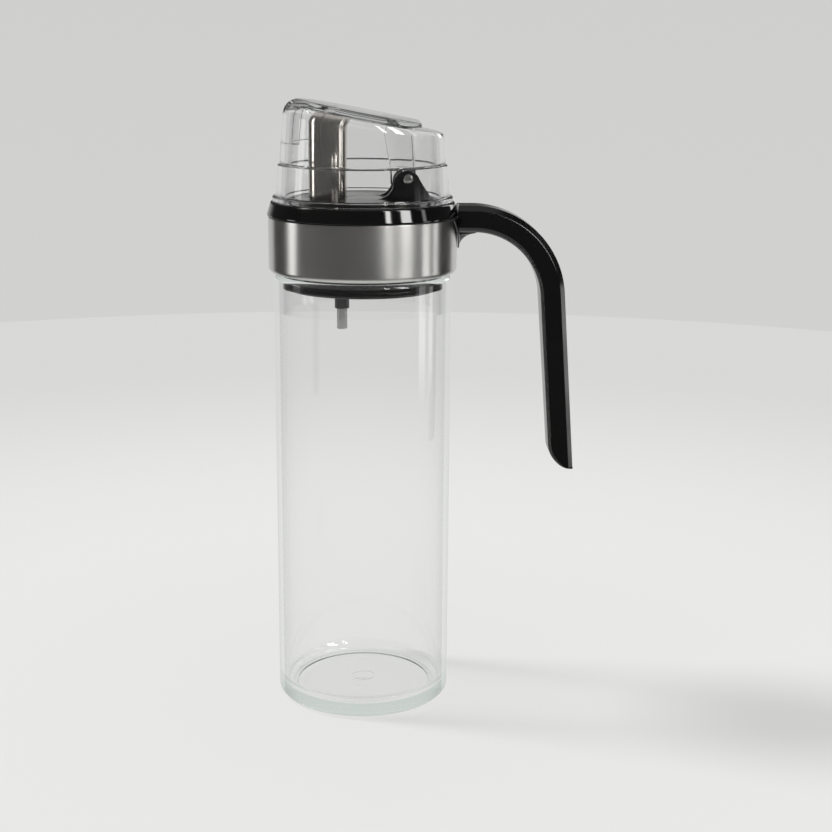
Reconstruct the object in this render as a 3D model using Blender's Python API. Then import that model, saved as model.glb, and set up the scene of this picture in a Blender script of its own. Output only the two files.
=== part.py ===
"""Oil dispenser bottle: a straight glass cylinder under a steel-banded black cap.

The cap carries a side handle, a steel pouring tube and a clear two-piece lid, whose
slanted flap turns on a pin near the handle. Metres, +Z up. The origin is the centre
of the glass base, and the handle points along +X.
"""

from math import atan, cos, hypot, pi, radians, sin, sqrt

import bmesh
import bpy
from mathutils import Vector

# Common
SEGMENTS = 48                 # facets round the large turned pieces
SMALL_SEGMENTS = 20           # facets round the vent and the pin
TUBE_SEGMENTS = 32            # facets round the pouring tube, the seal and the boss
GAP = 0.0003                  # clearance between touching pieces
MERGE = 0.000001              # distance under which coincident points become one
SHARP_ANGLE = radians(35)     # edges over this angle stay sharp
OVER = 0.0010                 # how far a cutter passes the face it cuts
REACH = 0.0500                # half-size of the blocks that cut or keep a region
HEADROOM = 0.0200             # height of those blocks over the roof plane
CUT_FLOOR = 0.1800            # lower end of those blocks

# Glass bottle
GLASS_RADIUS = 0.0350
GLASS_BORE = 0.0316
GLASS_HEEL = 0.0035
GLASS_FLOOR = 0.0045
GLASS_FLOOR_FILLET = 0.0050
GLASS_SHOULDER_Z = 0.1728
GLASS_NECK_RADIUS = 0.0332
GLASS_TOP = 0.1965
GLASS_RIM = 0.0005

# Cap: steel band, glossy collar and the deck with its plug
BAND_RADIUS = 0.0370
BAND_WALL = 0.0006
BAND_BOTTOM = 0.1756
BAND_TOP = 0.1971
BAND_ROLL = 0.0019
COLLAR_RADIUS = 0.0374
COLLAR_TOP_RADIUS = 0.0360
COLLAR_TOP = 0.2030
COLLAR_LEDGE = 0.1992
COLLAR_SKIRT_BOTTOM = 0.1768
DECK_TOP = 0.2043
DECK_UNDER = 0.2000
DECK_RADIUS = 0.0288
DECK_FLANGE_RADIUS = 0.0330
DECK_FLANGE_TOP = 0.1989
PLUG_RADIUS = 0.0290
PLUG_BORE = 0.0265
PLUG_BOTTOM = 0.1687
PLUG_FLOOR = 0.0025
GROOVE_INNER = 0.0262
GROOVE_OUTER = 0.0274
GROOVE_DEPTH = 0.0008
GASKET_RADIUS = 0.0312
GASKET_BOTTOM = 0.1697
GASKET_TOP = 0.1731
GASKET_BEAD = 0.7             # edge rounding as a share of half the gasket's height
INLET_X = -0.0200
INLET_RADIUS = 0.0050

# Pouring tube and air vent
TUBE_X = -0.0137
TUBE_RADIUS = 0.0075
TUBE_WALL = 0.0007
TUBE_BOTTOM = 0.1990
VENT_X = -0.0083
VENT_SOCKET_RADIUS = 0.00325
VENT_SOCKET_BOTTOM = 0.1607
VENT_PIPE_RADIUS = 0.00208
VENT_PIPE_BOTTOM = 0.1525
VENT_BORE = 0.0013

# Clear lid: a fixed shell and a flap whose roof lies on a slanted plane
ROOF_Z = 0.2376               # height of the roof plane over the origin
ROOF_SLOPE = 0.1836           # fall of the roof plane towards the handle
ROOF_THICKNESS = 0.0024
ROOF_FILLET = 0.0063
SHELL_BOTTOM = COLLAR_TOP + GAP
SHELL_FLANGE_RADIUS = 0.0353
SHELL_FLANGE_TOP = 0.2049
SHELL_FOOT_RADIUS = 0.0339
SHELL_STEP_Z = 0.2170
SHELL_STEP = 0.0007
SHELL_DRAFT = 0.0700          # inward lean of the wall per unit of height
SHELL_WALL = 0.0034
FILLET_STEPS = 4
WINDOW_BACK_X = -0.0100       # inner end of the notch in the shell's front
LIP_BACK_X = -0.0120          # inner end of the region that the flap's lip is taken from
LIP_HALF_WIDTH = 0.0170
LIP_BOTTOM = 0.2258
FLAP_REAR_X = 0.0222
FLAP_REAR_RELIEF = 0.0013
RAMP_START_X = 0.0154
RAMP_DEPTH = 0.0020
BOSS_RADIUS = 0.0070
BOSS_DEPTH = 0.0030           # depth of the boss's face under the roof plane
SEAL_RADIUS = 0.0095
SEAL_TOP_DEPTH = 0.0033
SEAL_BOTTOM_DEPTH = 0.0053
TUBE_TOP_DEPTH = 0.0056

# Hinge: two ears on the deck, a pin, and the flap's leg between the ears
PIN_X = 0.0174
PIN_Z = 0.2120
PIN_RADIUS = 0.0015
EAR_INNER = 0.0062
EAR_OUTER = 0.0087
EAR_ARCH_X = 0.0168
EAR_ARCH_Z = 0.2104
EAR_ARCH_RADIUS = 0.0050
EAR_TOE_X = 0.0052
EAR_HEEL_X = 0.0266
EAR_SINK = 0.0005             # how far an ear reaches down into the deck
LEG_HALF_WIDTH = 0.0058
LEG_FRONT_TOP_X = 0.0070
LEG_FRONT_LOW_X = 0.0106
LEG_BACK_TOP_X = 0.0190
LEG_LOW_Z = 0.2090
LEG_WALL = 0.0020
LEG_WEB = 0.0026
LEG_SINK = 0.0008             # how far the leg reaches up into the roof
LEG_CORNER = 0.0010
LEG_CEILING_FRONT = 0.0015    # thickening of the roof over the leg's hollow
LEG_CEILING_REAR = 0.0004
KNUCKLE_WEB = 0.0008
KNUCKLE_RADIUS = 0.0032

# Handle: an arm that bends through an arc into a leg that leans outwards
HANDLE_ARC_X = 0.0430
HANDLE_ARC_Z = 0.1650
HANDLE_ARC_RADIUS = 0.0367    # of the outer face
HANDLE_LEAN = radians(4.27)
HANDLE_ROOT_X = 0.0350
HANDLE_ROOT_DEPTH = 0.0104
HANDLE_BEND_DEPTH = 0.0096
HANDLE_END_DEPTH = 0.0095
HANDLE_LEG_LENGTH = 0.0719
HANDLE_NOSE = 0.0097          # length of the rounded cut at the lower end
HANDLE_NOSE_POWER = 1.8
HANDLE_TIP_DEPTH = 0.0010
HANDLE_ROOT_WIDTH = 0.0165
HANDLE_END_WIDTH = 0.0145
HANDLE_CHAMFER = 0.0020
HANDLE_ROUND = 0.0030
FOOT_TOP = 0.1969
FOOT_BOTTOM = 0.1847
FOOT_HALF_WIDTH = 0.0140
FOOT_EDGE = 0.0006
FOOT_TIP_HALF_WIDTH = 0.0004
FOOT_SINK = 0.0040            # how far the foot's blank reaches into the band before it is cut
FOOT_SWELL = 0.0068
FOOT_SWELL_SHARE = 0.46       # share of the foot's height at which its swell meets the arm
FOOT_SIDE_POWER = 1.3
SEAT_MARGIN = 0.0100          # how far the seat's cutter passes the handle's foot and top


def remove_everything():
    """Remove every object of the scene."""
    for item in list(bpy.data.objects):
        bpy.data.objects.remove(item, do_unlink=True)


def material(name, colour, roughness, metallic=0.0, transmission=0.0, ior=1.5):
    """Return a Principled material with the given finish."""
    made = bpy.data.materials.new(name)
    made.use_nodes = True
    shader = made.node_tree.nodes["Principled BSDF"]
    shader.inputs["Base Color"].default_value = (*colour, 1.0)
    shader.inputs["Roughness"].default_value = roughness
    shader.inputs["Metallic"].default_value = metallic
    shader.inputs["Transmission Weight"].default_value = transmission
    shader.inputs["IOR"].default_value = ior
    return made


def object_from(bm, name, finish=None):
    """Turn a bmesh into a smooth-shaded object with outward faces."""
    bmesh.ops.remove_doubles(bm, verts=bm.verts, dist=MERGE)
    bmesh.ops.recalc_face_normals(bm, faces=bm.faces)
    mesh = bpy.data.meshes.new(name)
    bm.to_mesh(mesh)
    bm.free()
    mesh.shade_smooth()
    mesh.set_sharp_from_angle(angle=SHARP_ANGLE)
    made = bpy.data.objects.new(name, mesh)
    bpy.context.scene.collection.objects.link(made)
    if finish:
        mesh.materials.append(finish)
    return made


def arc(centre, radius, start, end, steps):
    """Return steps + 1 points on an arc, with the angles in degrees."""
    points = []
    for step in range(steps + 1):
        angle = radians(start + (end - start) * step / steps)
        points.append((centre[0] + radius * cos(angle), centre[1] + radius * sin(angle)))
    return points


def turned(name, outline, finish=None, segments=SEGMENTS, x=0.0):
    """Spin a closed outline of (radius, height) points round a vertical axis at x."""
    bm = bmesh.new()
    verts = [bm.verts.new((radius, 0.0, height)) for radius, height in outline]
    edges = [bm.edges.new((verts[i - 1], verts[i])) for i in range(1, len(verts))]
    if outline[0][0] > MERGE:
        edges.append(bm.edges.new((verts[-1], verts[0])))
    bmesh.ops.spin(bm, geom=verts + edges, cent=(0, 0, 0), axis=(0, 0, 1),
                   angle=2 * pi, steps=segments, use_merge=True)
    made = object_from(bm, name, finish)
    made.location.x = x
    return made


def extruded(name, outline, low, high, finish=None):
    """Push a closed outline of (x, z) points along Y from low to high."""
    bm = bmesh.new()
    verts = [bm.verts.new((x, low, z)) for x, z in outline]
    face = bm.faces.new(verts)
    pushed = bmesh.ops.extrude_face_region(bm, geom=[face])
    moved = [item for item in pushed["geom"] if isinstance(item, bmesh.types.BMVert)]
    bmesh.ops.translate(bm, vec=(0, high - low, 0), verts=moved)
    return object_from(bm, name, finish)


def lofted(name, sections, finish=None):
    """Join closed sections of equal point count into a solid with flat ends."""
    bm = bmesh.new()
    rings = [[bm.verts.new(point) for point in section] for section in sections]
    count = len(rings[0])
    for lower, upper in zip(rings, rings[1:]):
        for i in range(count):
            j = (i + 1) % count
            bm.faces.new((lower[i], lower[j], upper[j], upper[i]))
    bm.faces.new(rings[0])
    bm.faces.new(rings[-1])
    return object_from(bm, name, finish)


def combine(target, other, operation="DIFFERENCE"):
    """Cut, join or intersect target with a helper that isn't a piece itself."""
    modifier = target.modifiers.new(other.name, "BOOLEAN")
    modifier.operation = operation
    modifier.object = other
    modifier.solver = "EXACT"
    other.hide_render = True
    other.display_type = "WIRE"


def rod(name, radius, low, high, x=0.0, finish=None, segments=SMALL_SEGMENTS):
    """Make a plain vertical round bar."""
    outline = [(0, low), (radius, low), (radius, high), (0, high)]
    return turned(name, outline, finish, segments, x)


def cross_pin(name, radius, half_length, finish=None):
    """Make a round bar along Y on the hinge line, with its origin there."""
    made = rod(name, radius, -half_length, half_length, 0.0, finish)
    made.rotation_euler.x = radians(90)
    made.location = (PIN_X, 0, PIN_Z)
    return made


def roof_height(x, depth=0.0):
    """Return the height at x of the plane that lies depth under the roof plane."""
    return ROOF_Z - ROOF_SLOPE * x - depth * hypot(1, ROOF_SLOPE)


def slanted_slab(name, top_depth, bottom_depth, radius, x, finish=None):
    """Make a round disc that lies parallel to the roof."""
    outline = [(0, -bottom_depth), (radius, -bottom_depth), (radius, -top_depth), (0, -top_depth)]
    made = turned(name, outline, finish, TUBE_SEGMENTS)
    made.rotation_euler.y = atan(ROOF_SLOPE)
    made.location = (x, 0, roof_height(x))
    return made


def below_plane(name, depth):
    """Make a block that fills everything under a plane parallel to the roof."""
    outline = [(-REACH, CUT_FLOOR), (REACH, CUT_FLOOR), (REACH, roof_height(REACH, depth)),
               (-REACH, roof_height(-REACH, depth))]
    return extruded(name, outline, -REACH, REACH)


def block(name, low, high):
    """Make a box between two corners."""
    outline = [(low[0], low[2]), (high[0], low[2]), (high[0], high[2]), (low[0], high[2])]
    return extruded(name, outline, low[1], high[1])


# ---------------------------------------------------------------- bottle and cap


def build_glass(finish):
    """Make the hollow glass with its thick floor and its hidden neck."""
    round_in = GLASS_RADIUS - GLASS_NECK_RADIUS
    outline = [(0, 0)]
    outline += arc((GLASS_RADIUS - GLASS_HEEL, GLASS_HEEL), GLASS_HEEL, -90, 0, 3)
    outline += arc((GLASS_NECK_RADIUS, GLASS_SHOULDER_Z), round_in, 0, 90, 3)
    outline += [(GLASS_NECK_RADIUS, GLASS_TOP - GLASS_RIM), (GLASS_NECK_RADIUS - GLASS_RIM, GLASS_TOP),
                (GLASS_BORE + GLASS_RIM, GLASS_TOP), (GLASS_BORE, GLASS_TOP - GLASS_RIM)]
    corner = (GLASS_BORE - GLASS_FLOOR_FILLET, GLASS_FLOOR + GLASS_FLOOR_FILLET)
    outline += arc(corner, GLASS_FLOOR_FILLET, 0, -90, 3)
    outline += [(0, GLASS_FLOOR)]
    return turned("glass_bottle", outline, finish)


def build_band(finish):
    """Make the thin steel band with its lower edge rolled in."""
    inner = BAND_RADIUS - BAND_WALL
    roll = (BAND_RADIUS - BAND_ROLL, BAND_BOTTOM + BAND_ROLL)
    outline = [(BAND_RADIUS, BAND_TOP)]
    outline += arc(roll, BAND_ROLL, 0, -90, 3)
    outline += arc(roll, BAND_ROLL - BAND_WALL, -90, 0, 3)
    outline += [(inner, BAND_TOP)]
    return turned("steel_band", outline, finish)


def build_collar(finish):
    """Make the glossy ring over the band, with the skirt that the band covers."""
    skirt_outer = BAND_RADIUS - BAND_WALL - GAP
    skirt_inner = GLASS_NECK_RADIUS + GAP
    rim = 0.0005
    outline = [(DECK_RADIUS + GAP, COLLAR_LEDGE), (DECK_RADIUS + GAP, COLLAR_TOP)]
    outline += arc((COLLAR_TOP_RADIUS - rim, COLLAR_TOP - rim), rim, 90, 15, 2)
    outline += [(COLLAR_RADIUS - rim / 2, BAND_TOP + 4 * rim)]
    outline += [(COLLAR_RADIUS, BAND_TOP + 2 * rim), (COLLAR_RADIUS, BAND_TOP + GAP)]
    outline += [(skirt_outer, BAND_TOP + GAP), (skirt_outer, COLLAR_SKIRT_BOTTOM)]
    outline += [(skirt_inner, COLLAR_SKIRT_BOTTOM), (skirt_inner, COLLAR_LEDGE)]
    return turned("cap_collar", outline, finish)


def ear_outline():
    """Return the outline of a hinge ear: swept toe, round arch and sloping heel."""
    sink = DECK_TOP - EAR_SINK
    toe_radius = EAR_ARCH_X - EAR_ARCH_RADIUS - EAR_TOE_X
    outline = [(EAR_TOE_X, sink)]
    outline += arc((EAR_TOE_X, DECK_TOP + toe_radius), toe_radius, -90, 0, 5)
    outline += arc((EAR_ARCH_X, EAR_ARCH_Z), EAR_ARCH_RADIUS, 165, 15, 7)
    outline += [(EAR_HEEL_X, sink)]
    return outline


def build_deck(finish):
    """Make the black insert: deck, flange, plug and the two hinge ears."""
    edge = 0.0003
    outline = [(0, DECK_TOP), (GROOVE_INNER, DECK_TOP), (GROOVE_INNER + edge, DECK_TOP - GROOVE_DEPTH),
               (GROOVE_OUTER - edge, DECK_TOP - GROOVE_DEPTH), (GROOVE_OUTER, DECK_TOP),
               (DECK_RADIUS - edge, DECK_TOP), (DECK_RADIUS, DECK_TOP - edge),
               (DECK_RADIUS, DECK_FLANGE_TOP), (DECK_FLANGE_RADIUS, DECK_FLANGE_TOP),
               (DECK_FLANGE_RADIUS, GLASS_TOP + GAP), (PLUG_RADIUS, GLASS_TOP + GAP),
               (PLUG_RADIUS, PLUG_BOTTOM + edge), (PLUG_RADIUS - edge, PLUG_BOTTOM), (0, PLUG_BOTTOM)]
    deck = turned("spout_deck", outline, finish)
    cavity = rod("cut_cavity", PLUG_BORE, PLUG_BOTTOM + PLUG_FLOOR, DECK_UNDER, segments=SEGMENTS)
    combine(deck, cavity)
    tube_hole = rod("cut_tube_hole", TUBE_RADIUS + GAP, DECK_UNDER - OVER, DECK_TOP + OVER, TUBE_X)
    combine(deck, tube_hole)
    plug_top = PLUG_BOTTOM + PLUG_FLOOR + OVER
    combine(deck, rod("cut_inlet", INLET_RADIUS, PLUG_BOTTOM - OVER, plug_top, INLET_X))
    combine(deck, rod("cut_vent", VENT_BORE, PLUG_BOTTOM - OVER, plug_top, VENT_X))
    for side, low in (("near", -EAR_OUTER), ("far", EAR_INNER)):
        high = low + EAR_OUTER - EAR_INNER
        combine(deck, extruded("add_ear_" + side, ear_outline(), low, high), "UNION")
    combine(deck, cross_pin("cut_pin_hole", PIN_RADIUS + GAP, EAR_OUTER + OVER))
    return deck


def build_gasket(finish):
    """Make the round-edged seal between the plug and the glass."""
    half = (GASKET_TOP - GASKET_BOTTOM) / 2
    bead = half * GASKET_BEAD
    outline = [(PLUG_RADIUS + GAP, GASKET_TOP), (PLUG_RADIUS + GAP, GASKET_BOTTOM)]
    outline += arc((GASKET_RADIUS - bead, GASKET_BOTTOM + bead), bead, -90, 0, 2)
    outline += arc((GASKET_RADIUS - bead, GASKET_TOP - bead), bead, 0, 90, 2)
    return turned("bottle_gasket", outline, finish)


def build_tube(finish):
    """Make the steel pouring tube, cut off parallel to the roof."""
    top = ROOF_Z + TUBE_RADIUS
    outline = [(TUBE_RADIUS - TUBE_WALL, TUBE_BOTTOM), (TUBE_RADIUS, TUBE_BOTTOM),
               (TUBE_RADIUS, top), (TUBE_RADIUS - TUBE_WALL, top)]
    tube = turned("pouring_tube", outline, finish, TUBE_SEGMENTS, TUBE_X)
    combine(tube, below_plane("keep_under_seal", TUBE_TOP_DEPTH), "INTERSECT")
    return tube


def build_vent(socket_finish, pipe_finish):
    """Make the air vent under the plug: a socket and the narrow pipe in it."""
    top = PLUG_BOTTOM - GAP
    bore = VENT_PIPE_RADIUS + GAP
    socket = [(bore, VENT_SOCKET_BOTTOM), (VENT_SOCKET_RADIUS - GAP, VENT_SOCKET_BOTTOM),
              (VENT_SOCKET_RADIUS, VENT_SOCKET_BOTTOM + GAP), (VENT_SOCKET_RADIUS, top), (bore, top)]
    turned("vent_socket", socket, socket_finish, SMALL_SEGMENTS, VENT_X)
    pipe = [(VENT_BORE, VENT_PIPE_BOTTOM), (VENT_PIPE_RADIUS, VENT_PIPE_BOTTOM),
            (VENT_PIPE_RADIUS, top), (VENT_BORE, top)]
    turned("vent_pipe", pipe, pipe_finish, SMALL_SEGMENTS, VENT_X)


# ---------------------------------------------------------------- lid


def wall_line(height):
    """Return the outer radius of the upper lid wall at a height."""
    return SHELL_FOOT_RADIUS - SHELL_STEP - (height - SHELL_FLANGE_TOP) * SHELL_DRAFT


def roof_fillet(azimuth, steps):
    """Return the (radius, height) points that round the wall into the roof at an azimuth."""
    slope = ROOF_SLOPE * cos(azimuth)
    roof_length = hypot(1, slope)
    wall_length = hypot(1, SHELL_DRAFT)
    roof = (slope / roof_length, 1 / roof_length, ROOF_Z / roof_length - ROOF_FILLET)
    wall = (1 / wall_length, SHELL_DRAFT / wall_length, 0)
    wall_reach = (wall_line(ROOF_Z) + SHELL_DRAFT * ROOF_Z) / wall_length - ROOF_FILLET
    spread = roof[0] * wall[1] - roof[1] * wall[0]
    centre_r = (roof[2] * wall[1] - roof[1] * wall_reach) / spread
    centre_z = (roof[0] * wall_reach - roof[2] * wall[0]) / spread
    start = atan(SHELL_DRAFT)
    end = pi / 2 - atan(slope)
    points = []
    for step in range(steps + 1):
        angle = start + (end - start) * step / steps
        points.append((centre_r + ROOF_FILLET * cos(angle), centre_z + ROOF_FILLET * sin(angle)))
    return points


def build_dome(name):
    """Make the lid's solid outer form, flange to roof, without its hollow."""
    edge = 0.0004
    foot = [(SHELL_FLANGE_RADIUS, SHELL_BOTTOM), (SHELL_FLANGE_RADIUS, SHELL_FLANGE_TOP - edge),
            (SHELL_FLANGE_RADIUS - edge, SHELL_FLANGE_TOP), (SHELL_FOOT_RADIUS, SHELL_FLANGE_TOP),
            (SHELL_FOOT_RADIUS - (SHELL_STEP_Z - SHELL_FLANGE_TOP) * SHELL_DRAFT, SHELL_STEP_Z),
            (wall_line(SHELL_STEP_Z + edge), SHELL_STEP_Z + edge)]
    bm = bmesh.new()
    rings = []
    for segment in range(SEGMENTS):
        azimuth = 2 * pi * segment / SEGMENTS
        outline = foot + roof_fillet(azimuth, FILLET_STEPS)
        rings.append([bm.verts.new((r * cos(azimuth), r * sin(azimuth), z)) for r, z in outline])
    for ring, following in zip(rings, rings[1:] + rings[:1]):
        for lower in range(len(ring) - 1):
            bm.faces.new((ring[lower], following[lower], following[lower + 1], ring[lower + 1]))
    bm.faces.new([ring[0] for ring in rings])
    bm.faces.new([ring[-1] for ring in rings])
    return object_from(bm, name)


def build_hollow(name, floor):
    """Make the space inside the lid's wall, reaching up to the parting plane and past it."""
    low = SHELL_FOOT_RADIUS - SHELL_WALL
    shift = (SHELL_STEP_Z - SHELL_FLANGE_TOP) * SHELL_DRAFT
    top = ROOF_Z + HEADROOM
    upper = low - SHELL_STEP - shift
    outline = [(0, floor), (low, floor), (low, SHELL_FLANGE_TOP), (low - shift, SHELL_STEP_Z),
               (upper, SHELL_STEP_Z + SHELL_STEP),
               (upper - (top - SHELL_STEP_Z) * SHELL_DRAFT, top), (0, top)]
    return turned(name, outline)


def build_shell(dome, finish):
    """Make the fixed clear wall, cut by the parting plane and notched for the flap's lip."""
    shell = bpy.data.objects.new("lid_shell", dome.data.copy())
    bpy.context.scene.collection.objects.link(shell)
    shell.data.materials.append(finish)
    combine(shell, build_hollow("cut_shell_hollow", SHELL_BOTTOM - OVER))
    combine(shell, below_plane("keep_under_roof", ROOF_THICKNESS + GAP), "INTERSECT")
    low = (-REACH, -LIP_HALF_WIDTH - GAP, LIP_BOTTOM - GAP)
    high = (WINDOW_BACK_X, LIP_HALF_WIDTH + GAP, ROOF_Z + HEADROOM)
    combine(shell, block("cut_lip_window", low, high))
    return shell


def leg_outline():
    """Return the side outline of the flap's leg, from the roof down round the pin."""
    top = ROOF_THICKNESS - LEG_SINK
    outline = [(LEG_BACK_TOP_X, roof_height(LEG_BACK_TOP_X, top)),
               (LEG_FRONT_TOP_X, roof_height(LEG_FRONT_TOP_X, top)),
               (LEG_FRONT_LOW_X, PIN_Z + KNUCKLE_RADIUS), (LEG_FRONT_LOW_X, LEG_LOW_Z + LEG_CORNER),
               (LEG_FRONT_LOW_X + LEG_CORNER, LEG_LOW_Z)]
    outline += arc((PIN_X, PIN_Z), KNUCKLE_RADIUS, -100, 20, 7)
    return outline


def build_flap(dome, finish):
    """Make the moving roof with its front lip, seal boss and hollow hinge leg."""
    flap = bpy.data.objects.new("lid_flap", dome.data.copy())
    bpy.context.scene.collection.objects.link(flap)
    flap.data.materials.append(finish)
    top = ROOF_Z + HEADROOM
    region = [(-REACH, roof_height(-REACH, ROOF_THICKNESS)), (REACH, roof_height(REACH, ROOF_THICKNESS)),
              (REACH, top), (-REACH, top)]
    keep = extruded("keep_over_parting", region, -REACH, REACH)
    lip_low = (-REACH + GAP, -LIP_HALF_WIDTH, LIP_BOTTOM)
    lip = block("add_lip_region", lip_low, (LIP_BACK_X, LIP_HALF_WIDTH, top - GAP))
    combine(keep, lip, "UNION")
    combine(flap, keep, "INTERSECT")
    hollow = build_hollow("cut_flap_hollow", SHELL_BOTTOM - OVER)
    combine(hollow, below_plane("keep_hollow_low", ROOF_THICKNESS + GAP), "INTERSECT")
    combine(flap, hollow)
    combine(flap, block("cut_rear", (FLAP_REAR_X, -REACH, CUT_FLOOR), (REACH, REACH, top)))
    ramp_end = FLAP_REAR_X + OVER
    ramp = [(RAMP_START_X, roof_height(RAMP_START_X, ROOF_THICKNESS + RAMP_DEPTH)),
            (REACH, roof_height(REACH, ROOF_THICKNESS + RAMP_DEPTH)),
            (ramp_end, roof_height(ramp_end, ROOF_THICKNESS - FLAP_REAR_RELIEF)),
            (RAMP_START_X, roof_height(RAMP_START_X, ROOF_THICKNESS + GAP))]
    combine(flap, extruded("cut_rear_ramp", ramp, -REACH, REACH))
    combine(flap, slanted_slab("add_boss", ROOF_THICKNESS / 2, BOSS_DEPTH, BOSS_RADIUS, TUBE_X), "UNION")
    combine(flap, extruded("add_leg", leg_outline(), -LEG_HALF_WIDTH, LEG_HALF_WIDTH), "UNION")
    back = FLAP_REAR_X + OVER
    sill = PIN_Z + KNUCKLE_RADIUS + KNUCKLE_WEB
    window = [(LEG_FRONT_TOP_X + LEG_WEB, roof_height(LEG_FRONT_TOP_X, ROOF_THICKNESS + LEG_CEILING_FRONT)),
              (LEG_FRONT_LOW_X + LEG_WEB, sill), (back, sill),
              (back, roof_height(back, ROOF_THICKNESS + LEG_CEILING_REAR))]
    inner = LEG_HALF_WIDTH - LEG_WALL
    combine(flap, extruded("cut_leg_hollow", window, -inner, inner))
    combine(flap, cross_pin("cut_knuckle_hole", PIN_RADIUS + GAP, LEG_HALF_WIDTH + OVER))
    return flap


def build_lid(clear, clear_flap, seal_finish, pin_finish):
    """Make the shell, the flap, the seal under the flap and the hinge pin."""
    dome = build_dome("dome_form")
    dome.hide_render = True
    dome.display_type = "WIRE"
    build_shell(dome, clear)
    flap = build_flap(dome, clear_flap)
    seal = slanted_slab("lid_seal", SEAL_TOP_DEPTH, SEAL_BOTTOM_DEPTH, SEAL_RADIUS, TUBE_X, seal_finish)
    cross_pin("hinge_pin", PIN_RADIUS, EAR_OUTER + GAP, pin_finish)
    hinge = bpy.data.objects.new("hinge_axis", None)
    hinge.location = (PIN_X, 0, PIN_Z)
    bpy.context.scene.collection.objects.link(hinge)
    for moving in (flap, seal):
        moving.parent = hinge
        moving.location -= hinge.location


# ---------------------------------------------------------------- handle


def handle_section(point, outward, depth, width):
    """Return a handle section: chamfered outer face, rounded inner edges."""
    half = width / 2
    profile = [(0, half - HANDLE_CHAMFER), (-HANDLE_CHAMFER, half)]
    if depth < HANDLE_CHAMFER + HANDLE_ROUND:
        shrink = depth / (HANDLE_CHAMFER + HANDLE_ROUND)
    else:
        shrink = 1.0
    profile = [(inset * shrink, across) for inset, across in profile]
    rounding = HANDLE_ROUND * shrink
    for angle in (0, 30, 60, 90):
        turn = radians(angle)
        inset = -(depth - rounding) - rounding * sin(turn)
        profile.append((inset, half - HANDLE_ROUND + HANDLE_ROUND * cos(turn)))
    mirrored = [(inset, -across) for inset, across in reversed(profile)]
    section = []
    for inset, across in profile + mirrored:
        place = point + outward * inset
        section.append((place.x, across, place.z))
    return section


def handle_stations():
    """Yield the outer face's points with the outward direction, depth and width there."""
    centre = Vector((HANDLE_ARC_X, 0, HANDLE_ARC_Z))
    up = Vector((0, 0, 1))
    root = Vector((HANDLE_ROOT_X, 0, HANDLE_ARC_Z + HANDLE_ARC_RADIUS))
    yield root, up, HANDLE_ROOT_DEPTH, HANDLE_ROOT_WIDTH
    bend_steps = 14
    for step in range(bend_steps + 1):
        share = step / bend_steps
        angle = pi / 2 + (HANDLE_LEAN - pi / 2) * share
        outward = Vector((cos(angle), 0, sin(angle)))
        depth = HANDLE_ROOT_DEPTH + (HANDLE_BEND_DEPTH - HANDLE_ROOT_DEPTH) * share
        yield centre + outward * HANDLE_ARC_RADIUS, outward, depth, HANDLE_ROOT_WIDTH
    along = Vector((sin(HANDLE_LEAN), 0, -cos(HANDLE_LEAN)))
    start = centre + outward * HANDLE_ARC_RADIUS
    straight = HANDLE_LEG_LENGTH - HANDLE_NOSE
    for share in (0.5, 1.0):
        depth = HANDLE_BEND_DEPTH + (HANDLE_END_DEPTH - HANDLE_BEND_DEPTH) * share
        width = HANDLE_ROOT_WIDTH + (HANDLE_END_WIDTH - HANDLE_ROOT_WIDTH) * share
        yield start + along * straight * share, outward, depth, width
    nose_steps = 6
    for step in range(1, nose_steps + 1):
        share = sin(pi / 2 * step / nose_steps)
        left = sqrt(1 - share ** HANDLE_NOSE_POWER)
        depth = HANDLE_TIP_DEPTH + (HANDLE_END_DEPTH - HANDLE_TIP_DEPTH) * left
        yield start + along * (straight + HANDLE_NOSE * share), outward, depth, HANDLE_END_WIDTH


def foot_section(share):
    """Return the shield foot's level section at a share of its height."""
    height = FOOT_BOTTOM + (FOOT_TOP - FOOT_BOTTOM) * share
    half = FOOT_TIP_HALF_WIDTH + (FOOT_HALF_WIDTH - FOOT_TIP_HALF_WIDTH) * share
    rise = min(1.0, share / FOOT_SWELL_SHARE)
    swell = FOOT_SWELL * (1 - sqrt(1 - rise ** 2))
    outer = []
    steps = 8
    for step in range(steps + 1):
        across = -half + 2 * half * step / steps
        face = sqrt((BAND_RADIUS + GAP + FOOT_EDGE) ** 2 - across ** 2)
        bulge = swell * (0.5 + 0.5 * cos(pi * across / half)) ** FOOT_SIDE_POWER
        outer.append((face + bulge, across, height))
    inside = BAND_RADIUS - FOOT_SINK
    return outer + [(inside, half, height), (inside, -half, height)]


def build_handle(finish):
    """Make the handle with its shield foot, hollowed to fit the collar and band."""
    sections = [handle_section(*station) for station in handle_stations()]
    handle = lofted("handle", sections, finish)
    foot_steps = 8
    foot = lofted("add_foot", [foot_section(step / foot_steps) for step in range(foot_steps + 1)])
    combine(handle, foot, "UNION")
    clear = BAND_RADIUS + GAP
    ring = COLLAR_RADIUS + GAP
    low = FOOT_BOTTOM - SEAT_MARGIN
    high = HANDLE_ARC_Z + HANDLE_ARC_RADIUS + SEAT_MARGIN
    outline = [(0, low), (clear, low), (clear, BAND_TOP), (ring, BAND_TOP), (ring, high), (0, high)]
    combine(handle, turned("cut_band_seat", outline))
    return handle


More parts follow.
